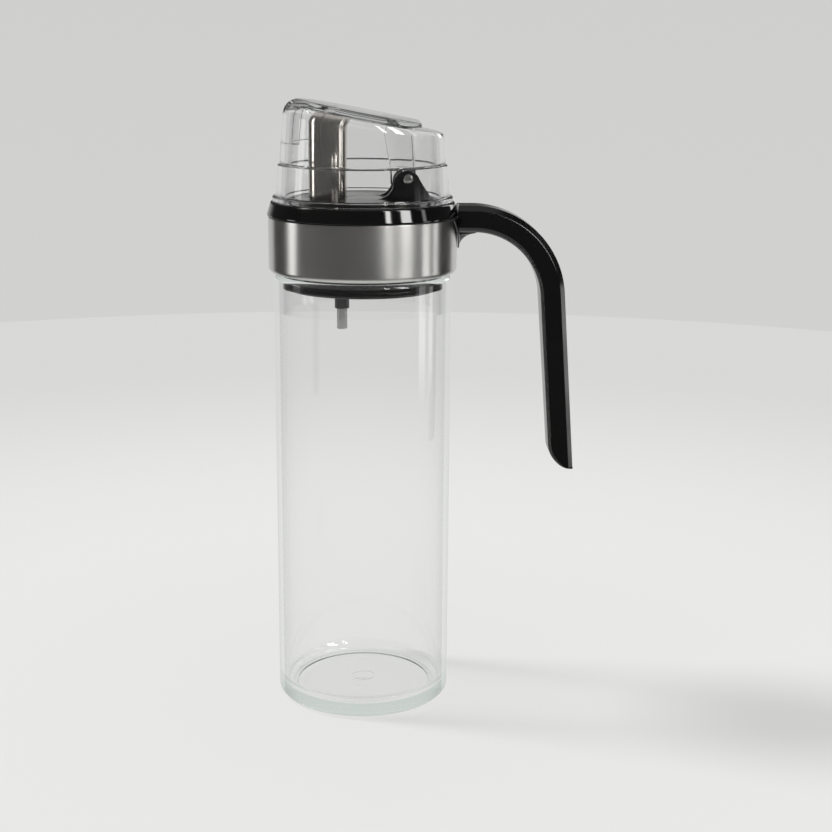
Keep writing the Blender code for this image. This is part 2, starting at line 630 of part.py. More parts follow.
def main():
    """Build every piece."""
    remove_everything()
    glass = material("clear_glass", (0.96, 0.98, 0.97), 0.02, transmission=1.0, ior=1.5)
    clear = material("clear_lid", (0.97, 0.97, 0.97), 0.03, transmission=1.0, ior=1.49)
    clear_flap = material("clear_lid_flap", (0.97, 0.97, 0.97), 0.03, transmission=1.0, ior=1.49)
    steel = material("brushed_steel", (0.62, 0.61, 0.59), 0.28, metallic=1.0)
    gloss = material("gloss_black", (0.012, 0.012, 0.012), 0.12)
    satin = material("satin_black", (0.016, 0.016, 0.016), 0.35)
    silicone = material("black_silicone", (0.015, 0.015, 0.015), 0.5)
    pale = material("pale_silicone", (0.75, 0.75, 0.73), 0.45)
    grey = material("grey_plastic", (0.25, 0.25, 0.25), 0.4)
    build_glass(glass)
    build_band(steel)
    build_collar(gloss)
    build_deck(satin)
    build_gasket(silicone)
    build_tube(steel)
    build_vent(grey, steel)
    build_lid(clear, clear_flap, pale, steel)
    build_handle(gloss)
    bpy.context.view_layer.update()


main()
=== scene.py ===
"""Finished look of an oil dispenser bottle, in metres, +Z up and the handle along +X.

Each sub-assembly is a class that keeps its own sizes, makes its fine meshes over the frame's
plain solids, dresses them in a finish and hangs them on the body that carries them.
"""

import logging
from collections.abc import Callable, Iterator
from dataclasses import dataclass, field
from enum import Enum
from math import atan, atan2, cos, degrees, hypot, pi, radians, sin, sqrt, tan

import bmesh
import bpy
from mathutils import Matrix, Vector


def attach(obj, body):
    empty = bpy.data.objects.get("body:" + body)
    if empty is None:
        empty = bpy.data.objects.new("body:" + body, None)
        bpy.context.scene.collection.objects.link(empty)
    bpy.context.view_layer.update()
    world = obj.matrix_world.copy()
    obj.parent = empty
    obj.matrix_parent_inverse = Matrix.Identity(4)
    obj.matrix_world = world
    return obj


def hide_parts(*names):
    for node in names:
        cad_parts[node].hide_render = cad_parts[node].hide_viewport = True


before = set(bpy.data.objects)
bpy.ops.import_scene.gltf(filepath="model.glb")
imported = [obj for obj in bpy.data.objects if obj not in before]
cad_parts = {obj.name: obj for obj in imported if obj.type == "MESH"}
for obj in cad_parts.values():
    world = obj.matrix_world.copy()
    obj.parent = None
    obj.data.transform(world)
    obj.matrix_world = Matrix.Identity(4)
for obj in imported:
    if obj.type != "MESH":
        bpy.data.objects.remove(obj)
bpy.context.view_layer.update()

log = logging.getLogger("oil_bottle")

Pair = tuple[float, float]
Colour = tuple[float, float, float]
Place = tuple[float, float, float]
Piece = bpy.types.Object
Socket = bpy.types.NodeSocket

FINEST = 256                  # facets round the band and the collar
FINE = 192                    # facets round the large turned pieces
MEDIUM = 96                   # facets round the tubes, the pin and the seal
CREASE = radians(32)          # edges over this angle stay sharp in the shading
SHARP = radians(40)           # edges over this angle are rounded
MERGE = 1e-6                  # distance under which coincident points become one
OVER = 0.0010                 # how far a cutter passes the face it cuts
REACH = 0.0500                # half-size of the blocks that cut or keep a region
MIDDLE = (0.3, 0.7)           # the range that most values of a noise lie in


# ---------------------------------------------------------------- drawing and shaping


@dataclass
class Outline:
    """Corners of a section, each with its own rounding, in the order they are drawn.

    Args:
        corners: (across, height, rounding) of each corner.
        steps: facets on each rounded corner.
    """

    corners: list[tuple[float, float, float]] = field(default_factory=list)
    steps: int = 5

    def to(self, across: float, height: float, rounding: float = 0.0) -> "Outline":
        """Add a corner and return the outline, so that calls can be chained."""
        self.corners.append((across, height, rounding))
        return self

    def rounded(self, index: int) -> list[Pair]:
        """Return the points that round one corner.

        Args:
            index: which corner.

        Returns:
            The arc's points, or the corner itself where it isn't rounded.
        """
        across, height, rounding = self.corners[index]
        if rounding <= 0:
            return [(across, height)]
        corner = Vector((across, height))
        before = Vector(self.corners[index - 1][:2]) - corner
        after = Vector(self.corners[(index + 1) % len(self.corners)][:2]) - corner
        half = before.angle(after) / 2
        reach = min(rounding / tan(half), 0.49 * before.length, 0.49 * after.length)
        radius = reach * tan(half)
        bisector = (before.normalized() + after.normalized()).normalized()
        centre = corner + bisector * (radius / sin(half))
        spokes = [corner + side.normalized() * reach - centre for side in (before, after)]
        start, end = (atan2(spoke.y, spoke.x) for spoke in spokes)
        turn = (end - start + pi) % (2 * pi) - pi
        angles = [start + turn * step / self.steps for step in range(self.steps + 1)]
        return [(centre.x + radius * cos(angle), centre.y + radius * sin(angle)) for angle in angles]

    def points(self) -> list[Pair]:
        """Return every point of the outline, with its rounded corners drawn out."""
        return [point for index in range(len(self.corners)) for point in self.rounded(index)]


def arc(centre: Pair, radius: float, start: float, end: float, steps: int) -> list[Pair]:
    """Draw an arc.

    Args:
        centre: the arc's centre.
        radius: its radius.
        start: its first angle, in degrees.
        end: its last angle, in degrees.
        steps: how many straight stretches it has.

    Returns:
        Its steps + 1 points.
    """
    angles = [radians(start + (end - start) * step / steps) for step in range(steps + 1)]
    return [(centre[0] + radius * cos(angle), centre[1] + radius * sin(angle)) for angle in angles]


def piece_from(bm: bmesh.types.BMesh, name: str) -> Piece:
    """Turn a bmesh into a smooth-shaded object with outward faces.

    Args:
        bm: the bmesh, which is freed.
        name: the object's name.

    Returns:
        The new object.
    """
    bmesh.ops.remove_doubles(bm, verts=bm.verts, dist=MERGE)
    bmesh.ops.recalc_face_normals(bm, faces=bm.faces)
    mesh = bpy.data.meshes.new(name)
    bm.to_mesh(mesh)
    bm.free()
    mesh.shade_smooth()
    mesh.set_sharp_from_angle(angle=CREASE)
    made = bpy.data.objects.new(name, mesh)
    bpy.context.scene.collection.objects.link(made)
    return made


def ring_body(
    name: str, outline_at: Callable[[float], list[Pair]], segments: int = FINE, x: float = 0.0
) -> Piece:
    """Make a round body whose section may change with the azimuth.

    Args:
        name: the object's name.
        outline_at: gives the closed (radius, height) outline at an azimuth in radians.
        segments: facets round the body.
        x: where its upright axis stands.

    Returns:
        The new object.
    """
    bm = bmesh.new()
    rings: list[list[bmesh.types.BMVert]] = []
    poles: dict[int, bmesh.types.BMVert] = {}
    for segment in range(segments):
        azimuth = 2 * pi * segment / segments
        ring = []
        for index, (radius, height) in enumerate(outline_at(azimuth)):
            place = (x + radius * cos(azimuth), radius * sin(azimuth), height)
            if radius > MERGE:
                ring.append(bm.verts.new(place))
            else:
                if index not in poles:
                    poles[index] = bm.verts.new(place)
                ring.append(poles[index])
        rings.append(ring)
    for ring, following in zip(rings, rings[1:] + rings[:1]):
        for lower in range(-1, len(ring) - 1):
            corners = [ring[lower], following[lower], following[lower + 1], ring[lower + 1]]
            distinct = list(dict.fromkeys(corners))
            if len(distinct) > 2:
                bm.faces.new(distinct)
    return piece_from(bm, name)


def turned(name: str, outline: Outline | list[Pair], segments: int = FINE, x: float = 0.0) -> Piece:
    """Spin one closed outline round an upright axis at x."""
    drawn = outline.points() if isinstance(outline, Outline) else outline
    return ring_body(name, lambda azimuth: drawn, segments, x)


def extruded(name: str, outline: Outline | list[Pair], low: float, high: float) -> Piece:
    """Push a closed outline along Y.

    Args:
        name: the object's name.
        outline: the outline's (x, z) points.
        low: where it starts along Y.
        high: where it ends.

    Returns:
        The new object.
    """
    drawn = outline.points() if isinstance(outline, Outline) else outline
    bm = bmesh.new()
    face = bm.faces.new([bm.verts.new((x, low, z)) for x, z in drawn])
    pushed = bmesh.ops.extrude_face_region(bm, geom=[face])
    moved = [item for item in pushed["geom"] if isinstance(item, bmesh.types.BMVert)]
    bmesh.ops.translate(bm, vec=(0, high - low, 0), verts=moved)
    return piece_from(bm, name)


def lofted(name: str, sections: list[list[Vector]]) -> Piece:
    """Join closed sections into a solid with flat ends.

    Args:
        name: the object's name.
        sections: the sections' points, as many in each.

    Returns:
        The new object.
    """
    bm = bmesh.new()
    rings = [[bm.verts.new(point) for point in section] for section in sections]
    for lower, upper in zip(rings, rings[1:]):
        for i, j in zip(range(-1, len(lower) - 1), range(len(lower))):
            bm.faces.new((lower[i], lower[j], upper[j], upper[i]))
    bm.faces.new(rings[0])
    bm.faces.new(rings[-1])
    return piece_from(bm, name)


def settle(piece: Piece) -> None:
    """Replace a piece's mesh by what its modifiers make of it.

    Args:
        piece: the piece, which keeps no modifiers.
    """
    graph = bpy.context.evaluated_depsgraph_get()
    mesh = bpy.data.meshes.new_from_object(piece.evaluated_get(graph))
    piece.modifiers.clear()
    piece.data = mesh


class Shaping(Enum):
    """What a helper body does to the piece it meets."""

    CUT = "DIFFERENCE"
    JOIN = "UNION"
    KEEP = "INTERSECT"


def shape(target: Piece, helper: Piece, way: Shaping) -> None:
    """Cut, join or keep part of a piece with a helper body.

    Args:
        target: the piece.
        helper: the helper body, which is removed.
        way: what it does to the piece.
    """
    modifier = target.modifiers.new(helper.name, "BOOLEAN")
    modifier.operation = way.value
    modifier.solver = "EXACT"
    modifier.object = helper
    settle(target)
    bpy.data.objects.remove(helper, do_unlink=True)
    target.data.shade_smooth()
    target.data.set_sharp_from_angle(angle=CREASE)


def soften(piece: Piece, width: float, steps: int = 3) -> None:
    """Round every sharp edge of a piece.

    Args:
        piece: the piece.
        width: how wide the rounding is.
        steps: how many facets it has.
    """
    bevel = piece.modifiers.new("soft_edges", "BEVEL")
    bevel.width = width
    bevel.segments = steps
    bevel.limit_method = "ANGLE"
    bevel.angle_limit = SHARP
    bevel.harden_normals = True
    settle(piece)


def even_shading(piece: Piece) -> None:
    """Let the large faces set the shading, so that flats and straight walls look true.

    Args:
        piece: the piece.
    """
    weighted = piece.modifiers.new("even_shading", "WEIGHTED_NORMAL")
    weighted.mode = "FACE_AREA"
    weighted.weight = 100
    weighted.keep_sharp = True
    settle(piece)


def placed(piece: Piece, matrix: Matrix) -> Piece:
    """Move a piece's mesh, so that its object stays at the origin."""
    piece.data.transform(matrix)
    return piece


def block(name: str, low: Place, high: Place) -> Piece:
    """Make a box between two corners."""
    outline = [(low[0], low[2]), (high[0], low[2]), (high[0], high[2]), (low[0], high[2])]
    return extruded(name, outline, low[1], high[1])


def rod(name: str, radius: float, low: float, high: float, x: float = 0.0) -> Piece:
    """Make a plain upright round bar at x."""
    return turned(name, [(0, low), (radius, low), (radius, high), (0, high)], MEDIUM, x)


def laid_across(piece: Piece, x: float, z: float) -> Piece:
    """Lay a piece that was made upright along Y, on the line at x and z."""
    return placed(piece, Matrix.Translation((x, 0, z)) @ Matrix.Rotation(pi / 2, 4, "X"))


# ---------------------------------------------------------------- finishes


class NodeBoard:
    """Adds nodes to an emptied tree and links them as they are added."""

    def __init__(self, tree: bpy.types.NodeTree) -> None:
        """Start on a tree, without the nodes it came with."""
        self.tree = tree
        tree.nodes.clear()

    def add(self, kind: str, inputs: dict | None = None, **settings: object) -> bpy.types.Node:
        """Add a node.

        Args:
            kind: the node's type, without its ShaderNode prefix.
            inputs: values or output sockets for its inputs, by name or number.
            settings: the node's own properties.

        Returns:
            The new node.
        """
        node = self.tree.nodes.new("ShaderNode" + kind)
        for name, value in settings.items():
            setattr(node, name, value)
        for name, value in (inputs or {}).items():
            if isinstance(value, Socket):
                self.tree.links.new(value, node.inputs[name])
            else:
                node.inputs[name].default_value = value
        return node

    def math(self, operation: str, *values: object) -> Socket:
        """Add a math node on some values and return its output."""
        return self.add("Math", dict(enumerate(values)), operation=operation).outputs[0]

    def remap(self, value: object, source: Pair, target: Pair, smooth: bool = False) -> Socket:
        """Map a value from one range to another.

        Args:
            value: the value, which is held within its range.
            source: the range it has.
            target: the range it gets.
            smooth: whether it eases in and out.

        Returns:
            The output socket.
        """
        inputs = {"Value": value, "From Min": source[0], "From Max": source[1],
                  "To Min": target[0], "To Max": target[1]}
        kind = "SMOOTHSTEP" if smooth else "LINEAR"
        return self.add("MapRange", inputs, interpolation_type=kind).outputs[0]

    def noise(self, stretch: Colour, detail: float) -> Socket:
        """Add a noise over the piece's own coordinates.

        Args:
            stretch: how many noise cells there are to a metre along X, Y and Z.
            detail: octaves of finer noise.

        Returns:
            The output socket.
        """
        place = self.add("TexCoord").outputs["Object"]
        scaled = self.add("Mapping", {"Vector": place, "Scale": stretch}).outputs[0]
        inputs = {"Vector": scaled, "Scale": 1.0, "Detail": detail, "Roughness": 0.5}
        return self.add("TexNoise", inputs).outputs[0]

    def bump(self, height: Socket, depth: float) -> Socket:
        """Return a normal that is raised by a height of at most depth metres."""
        return self.add("Bump", {"Height": height, "Distance": depth, "Strength": 1.0}).outputs[0]

    def tones(self, value: object, dark: Colour, light: Colour) -> Socket:
        """Mix two colours by a value and return the result."""
        inputs = {0: value, 6: (*dark, 1.0), 7: (*light, 1.0)}
        return self.add("Mix", inputs, data_type="RGBA").outputs[2]

    def blend(self, share: object, first: object, second: object) -> Socket:
        """Mix two values, by the share of the second, and return the result."""
        return self.add("Mix", {0: share, 2: first, 3: second}, data_type="FLOAT").outputs[0]

    def passed(self, depth: str, count: float = 0.5) -> Socket:
        """Return 1 for rays whose depth of one kind is over a count."""
        return self.math("GREATER_THAN", self.add("LightPath").outputs[depth], count)

    def opposite(self, share: object) -> Socket:
        """Return what a share leaves of one."""
        return self.math("SUBTRACT", 1.0, share)


def toned(colour: Colour, factor: float) -> Colour:
    """Return a colour made darker or lighter by a factor."""
    return tuple(min(1.0, channel * factor) for channel in colour)


@dataclass(frozen=True)
class Finish:
    """A surface finish, which makes one material the first time it is put on a piece.

    Args:
        name: the material's name.
        slot: the name of the record's material slot; not used.
    """

    name: str
    slot: str

    def surface(self, board: NodeBoard) -> Socket:
        """Build the shader on a board and return its output."""
        raise NotImplementedError

    def inside(self, board: NodeBoard) -> Socket | None:
        """Return a shader for what fills the piece, if light goes through it."""
        return None

    def material(self) -> bpy.types.Material:
        """Make the material the first time it is asked for.

        Returns:
            The material.
        """
        if self.name in bpy.data.materials:
            return bpy.data.materials[self.name]
        made = bpy.data.materials.new(self.name)
        made.use_nodes = True
        made.cycles.emission_sampling = "NONE"
        board = NodeBoard(made.node_tree)
        output = board.add("OutputMaterial", {"Surface": self.surface(board)})
        filling = self.inside(board)
        if filling:
            board.tree.links.new(filling, output.inputs["Volume"])
        return made


@dataclass(frozen=True)
class ClearFinish(Finish):
    """Glass or clear plastic that lets lamps through, less so at a glancing angle.

    Args:
        ior: how strongly it bends light.
        haze: its roughness.
        kept: the colour that is left after a metre at a density of one.
        density: how quickly it takes light away.
        wave: depth of the slight waves of its surface.
        cells: how many of those waves there are to a metre.
        upright: their number along Z, as a share of that.
        lamp_pass: share of lamp light that gets through one face met head on.
        lamp_edge: the same for a face met at a glancing angle.
        inner_glow: the painted pale glow that paths end in after several reflections inside it.
        inner_share: how much of their light that is.
        inner_bounces: how many reflections those are.
    """

    ior: float = 1.5
    haze: float = 0.0
    kept: Colour = (0.2, 0.6, 0.4)
    density: float = 5.0
    wave: float = 2e-5
    cells: float = 60.0
    upright: float = 0.4
    lamp_pass: float = 0.97
    lamp_edge: float = 0.45
    inner_glow: Colour = (0.66, 0.69, 0.67)
    inner_share: float = 0.0
    inner_bounces: float = 1.5

    def surface(self, board: NodeBoard) -> Socket:
        """Build the clear shader, with a transparent one for rays from lamps.

        Args:
            board: the material's nodes.

        Returns:
            The shader's output.
        """
        ripple = board.noise((self.cells, self.cells, self.cells * self.upright), detail=1.5)
        clear = board.add("BsdfPrincipled", {
            "Base Color": (1, 1, 1, 1),
            "Roughness": self.haze,
            "IOR": self.ior,
            "Transmission Weight": 1.0,
            "Normal": board.bump(ripple, self.wave),
        })
        facing = board.add("LayerWeight", {"Blend": 0.5}).outputs["Facing"]
        steep = board.math("POWER", facing, 3.0)
        passing = board.remap(steep, (0, 1), (self.lamp_pass, self.lamp_edge))
        lamp = board.add("BsdfTransparent", {"Color": passing})
        # Painted glow: after several reflections inside the piece, rays end in this pale emission.
        inner = board.add("Emission", {"Color": (*self.inner_glow, 1)})
        ended = board.math("MULTIPLY", board.passed("Glossy Depth", self.inner_bounces), self.inner_share)
        seen = board.add("MixShader", {0: ended, 1: clear.outputs[0], 2: inner.outputs[0]})
        is_lamp = board.add("LightPath").outputs["Is Shadow Ray"]
        return board.add("MixShader", {0: is_lamp, 1: seen.outputs[0], 2: lamp.outputs[0]}).outputs[0]

    def inside(self, board: NodeBoard) -> Socket:
        """Return the absorption that tints thick stretches."""
        inputs = {"Color": (*self.kept, 1), "Density": self.density}
        return board.add("VolumeAbsorption", inputs).outputs[0]


class Brushing(Enum):
    """Which way the fine lines of a brushed piece run."""

    AROUND = "around"
    ALONG = "along"


@dataclass(frozen=True)
class SteelFinish(Finish):
    """Steel with fine lines from brushing or polishing.

    Args:
        tint: its colour.
        roughness: its mean roughness.
        stretch: how much more it scatters across the lines than along them, 0 to 1.
        brushing: which way the lines run.
        lines: how many lines there are to a metre across them.
        slow: the same along them.
        depth: how deep they are.
        line_tone: how far their colour wanders, as a share.
        line_gloss: how far their roughness wanders.
        clouds: how many cloudy patches there are to a metre.
        cloud_gloss: how far the roughness wanders with those.
    """

    tint: Colour = (0.62, 0.61, 0.59)
    roughness: float = 0.3
    stretch: float = 0.75
    brushing: Brushing = Brushing.AROUND
    lines: float = 5200.0
    slow: float = 14.0
    depth: float = 1e-7
    line_tone: float = 0.005
    line_gloss: float = 0.004
    clouds: float = 90.0
    cloud_gloss: float = 0.02

    def surface(self, board: NodeBoard) -> Socket:
        """Build the metal with its lines in colour, roughness and relief.

        Args:
            board: the material's nodes.

        Returns:
            The shader's output.
        """
        if self.brushing is Brushing.AROUND:
            cells, turn = (self.slow, self.slow, self.lines), 0.25
        else:
            cells, turn = (self.lines, self.lines, self.slow), 0.0
        grain = board.noise(cells, detail=3.0)
        cloud = board.noise((self.clouds,) * 3, detail=3.0)
        uneven = board.math("ADD", board.remap(grain, MIDDLE, (-self.line_gloss, self.line_gloss)),
                            board.remap(cloud, MIDDLE, (-self.cloud_gloss, self.cloud_gloss)))
        darker, lighter = (toned(self.tint, 1 + side * self.line_tone) for side in (-1, 1))
        return board.add("BsdfPrincipled", {
            "Base Color": board.tones(board.remap(grain, MIDDLE, (0, 1)), darker, lighter),
            "Roughness": board.math("ADD", uneven, self.roughness),
            "Metallic": 1.0,
            "Anisotropic": self.stretch,
            "Anisotropic Rotation": turn,
            "Normal": board.bump(grain, self.depth),
            "Tangent": board.add("Tangent", direction_type="RADIAL", axis="Z").outputs[0],
        }).outputs[0]


@dataclass(frozen=True)
class MouldedFinish(Finish):
    """Moulded plastic or rubber.

    Args:
        tint: its colour.
        roughness: its mean roughness.
        uneven: how far the roughness wanders.
        relief: depth of its skin's fine relief.
        cells: how many cells of that relief there are to a metre.
        clouds: how many cloudy patches there are to a metre.
        dark_tone: their darkest tone, as a share of the tint.
        light_tone: their lightest tone.
        specular: how strongly it mirrors, where 0.5 is usual.
    """

    tint: Colour = (0.012, 0.012, 0.012)
    roughness: float = 0.2
    uneven: float = 0.04
    relief: float = 2e-6
    cells: float = 900.0
    clouds: float = 70.0
    dark_tone: float = 0.85
    light_tone: float = 1.2
    specular: float = 0.5

    def surface(self, board: NodeBoard) -> Socket:
        """Build the plastic with a faint skin, cloudy gloss and slight colour variation.

        Args:
            board: the material's nodes.

        Returns:
            The shader's output.
        """
        skin = board.noise((self.cells,) * 3, detail=3.0)
        cloud = board.noise((self.clouds,) * 3, detail=3.0)
        wander = board.remap(cloud, MIDDLE, (-self.uneven, self.uneven))
        return board.add("BsdfPrincipled", {
            "Base Color": board.tones(board.remap(cloud, MIDDLE, (0, 1)),
                                      toned(self.tint, self.dark_tone), toned(self.tint, self.light_tone)),
            "Roughness": board.math("ADD", wander, self.roughness),
            "Specular IOR Level": self.specular,
            "Normal": board.bump(skin, self.relief),
        }).outputs[0]


CLEAR_GLASS = ClearFinish("bottle_glass", "clear_glass", kept=(0.35, 0.62, 0.50), density=2.5,
                          inner_share=0.65)
CLEAR_PLASTIC = ClearFinish("lid_plastic", "clear_plastic", haze=0.01, kept=(0.5, 0.6, 0.55), density=4.0,
                            wave=2.5e-5, cells=110.0, lamp_pass=0.95)
BAND_STEEL = SteelFinish("band_steel", "brushed_steel", lines=3000.0)
TUBE_STEEL = SteelFinish("tube_steel", "brushed_steel", (0.64, 0.61, 0.57), roughness=0.17, stretch=0.3)
PIPE_STEEL = SteelFinish("pipe_steel", "brushed_steel", (0.45, 0.45, 0.44), roughness=0.2, stretch=0.3,
                         brushing=Brushing.ALONG, lines=2600.0)
PIN_STEEL = SteelFinish("pin_steel", "polished_steel", (0.70, 0.69, 0.67), roughness=0.14, stretch=0.2)
GLOSS_BLACK = MouldedFinish("collar_black", "gloss_black_plastic", (0.003,) * 3, roughness=0.06, uneven=0.02)
HANDLE_BLACK = MouldedFinish("handle_black", "gloss_black_plastic", (0.003,) * 3, roughness=0.14, relief=3e-7)
SATIN_BLACK = MouldedFinish("deck_black", "satin_black_plastic", (0.004,) * 3, relief=1.2e-5, cells=1500.0)
BLACK_RUBBER = MouldedFinish("gasket_black", "black_silicone", (0.002,) * 3, roughness=0.4, specular=0.2)
PALE_RUBBER = MouldedFinish("seal_pale", "pale_silicone", (0.66, 0.66, 0.64), roughness=0.4, relief=6e-6)
VENT_GREY = MouldedFinish("vent_grey", "grey_plastic", (0.04,) * 3, roughness=0.12)


class Body(Enum):
    """The frame's bodies."""

    BASE = "base"
    LID = "lid"


def hand_over(piece: Piece, finish: Finish, body: Body, node: str) -> Piece:
    """Dress a finished piece, hang it on its body and let it stand for its node.

    Args:
        piece: the new object.
        finish: what it is made of.
        body: the body that carries it.
        node: the frame's solid that it replaces.

    Returns:
        The piece.
    """
    even_shading(piece)
    piece.data.materials.clear()
    piece.data.materials.append(finish.material())
    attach(piece, body.value)
    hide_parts(node)
    piece.visible_diffuse = not isinstance(finish, ClearFinish)   # its shadow is set by the finish
    faces = len(piece.data.polygons)
    log.info("%s: %d faces of %s on %s, in place of %s", piece.name, faces, finish.name, body.value, node)
    return piece


# ---------------------------------------------------------------- bottle and cap


@dataclass
class GlassBottle:
    """The straight glass with its thick floor, rounded heel and hidden neck."""

    radius: float = 0.0350
    bore: float = 0.0316
    heel: float = 0.0035
    floor: float = 0.0045
    floor_fillet: float = 0.0050
    shoulder_z: float = 0.1728
    neck_radius: float = 0.0332
    top: float = 0.1965
    rim: float = 0.0006
    foot_ring: float = 0.0290     # radius inside which the underside is pushed in
    foot_ramp: float = 0.0020     # how wide the ramp up to it is
    push_up: float = 0.0005
    mark_radius: float = 0.0046   # plain ring pressed into the floor
    mark_width: float = 0.0009
    mark_depth: float = 0.0001
    wave_steps: int = 8
    round_steps: int = 14

    def shares(self) -> list[float]:
        """Return even shares from 0 to 1 along the ramp or across the ring."""
        return [step / self.wave_steps for step in range(self.wave_steps + 1)]

    def underside(self) -> list[Pair]:
        """Draw the pushed-in underside and the rounded heel.

        Returns:
            Their points, from the axis outwards.
        """
        ramp = [(self.foot_ring - self.foot_ramp * (1 - share), self.push_up * (0.5 + 0.5 * cos(pi * share)))
                for share in self.shares()]
        heel = arc((self.radius - self.heel, self.heel), self.heel, -90, 0, self.round_steps)
        return [(0, self.push_up)] + ramp + heel

    def floor_inside(self) -> list[Pair]:
        """Draw the inner floor with its pressed ring.

        Returns:
            Its points, from the wall to the axis.
        """
        corner = (self.bore - self.floor_fillet, self.floor + self.floor_fillet)
        ring = [(self.mark_radius + self.mark_width * (0.5 - share),
                 self.floor - self.mark_depth * (0.5 - 0.5 * cos(2 * pi * share))) for share in self.shares()]
        return arc(corner, self.floor_fillet, 0, -90, self.round_steps) + ring + [(0, self.floor)]

    def build(self) -> None:
        """Make the bottle."""
        drawn = self.underside()
        round_in = self.radius - self.neck_radius
        drawn += arc((self.neck_radius, self.shoulder_z), round_in, 0, 90, 8)
        lip = Outline([(self.neck_radius, self.shoulder_z, 0), (self.neck_radius, self.top, self.rim),
                       (self.bore, self.top, self.rim), (self.bore, self.shoulder_z, 0)])
        drawn += lip.rounded(1) + lip.rounded(2)
        drawn += self.floor_inside()
        hand_over(turned("bottle_body", drawn), CLEAR_GLASS, Body.BASE, "glass_bottle")


@dataclass
class SteelBand:
    """The thin brushed band whose lower edge is rolled in over the glass."""

    radius: float = 0.0370
    wall: float = 0.0006
    bottom: float = 0.1756
    top: float = 0.1971
    roll: float = 0.0019
    hem: float = 0.0004

    def build(self) -> None:
        """Make the band."""
        inner = self.radius - self.wall
        centre = (self.radius - self.roll, self.bottom + self.roll)
        drawn = Outline([(self.radius, self.bottom + self.roll, 0), (self.radius, self.top, self.hem / 2),
                         (inner, self.top, self.hem / 2), (inner, self.bottom + self.roll, 0)])
        points = arc(centre, self.roll - self.wall, -90, 0, 10)
        points += drawn.rounded(2)[::-1] + drawn.rounded(1)[::-1]
        points += arc(centre, self.roll, 0, -90, 12)
        hand_over(turned("band_sleeve", points, FINEST), BAND_STEEL, Body.BASE, "steel_band")


@dataclass
class CapCollar:
    """The glossy ring over the band, with the skirt that the band covers."""

    radius: float = 0.0374
    top_radius: float = 0.0360
    top: float = 0.2030
    foot: float = 0.1974
    waist: float = 0.1981
    ledge: float = 0.1992
    deck_hole: float = 0.0291
    skirt_outer: float = 0.0361
    skirt_inner: float = 0.0335
    skirt_bottom: float = 0.1768
    fine: float = 0.0003          # rounding of its small edges
    top_rounding: float = 0.0009
    waist_rounding: float = 0.0012

    def build(self) -> None:
        """Make the collar."""
        fine = self.fine
        drawn = Outline(steps=6)
        drawn.to(self.deck_hole, self.ledge).to(self.deck_hole, self.top, fine)
        drawn.to(self.top_radius, self.top, self.top_rounding)
        drawn.to(self.radius, self.waist, self.waist_rounding)
        drawn.to(self.radius, self.foot, fine).to(self.skirt_outer, self.foot)
        drawn.to(self.skirt_outer, self.skirt_bottom, fine).to(self.skirt_inner, self.skirt_bottom, fine)
        drawn.to(self.skirt_inner, self.ledge)
        hand_over(turned("collar_ring", drawn, FINEST), GLOSS_BLACK, Body.BASE, "cap_collar")


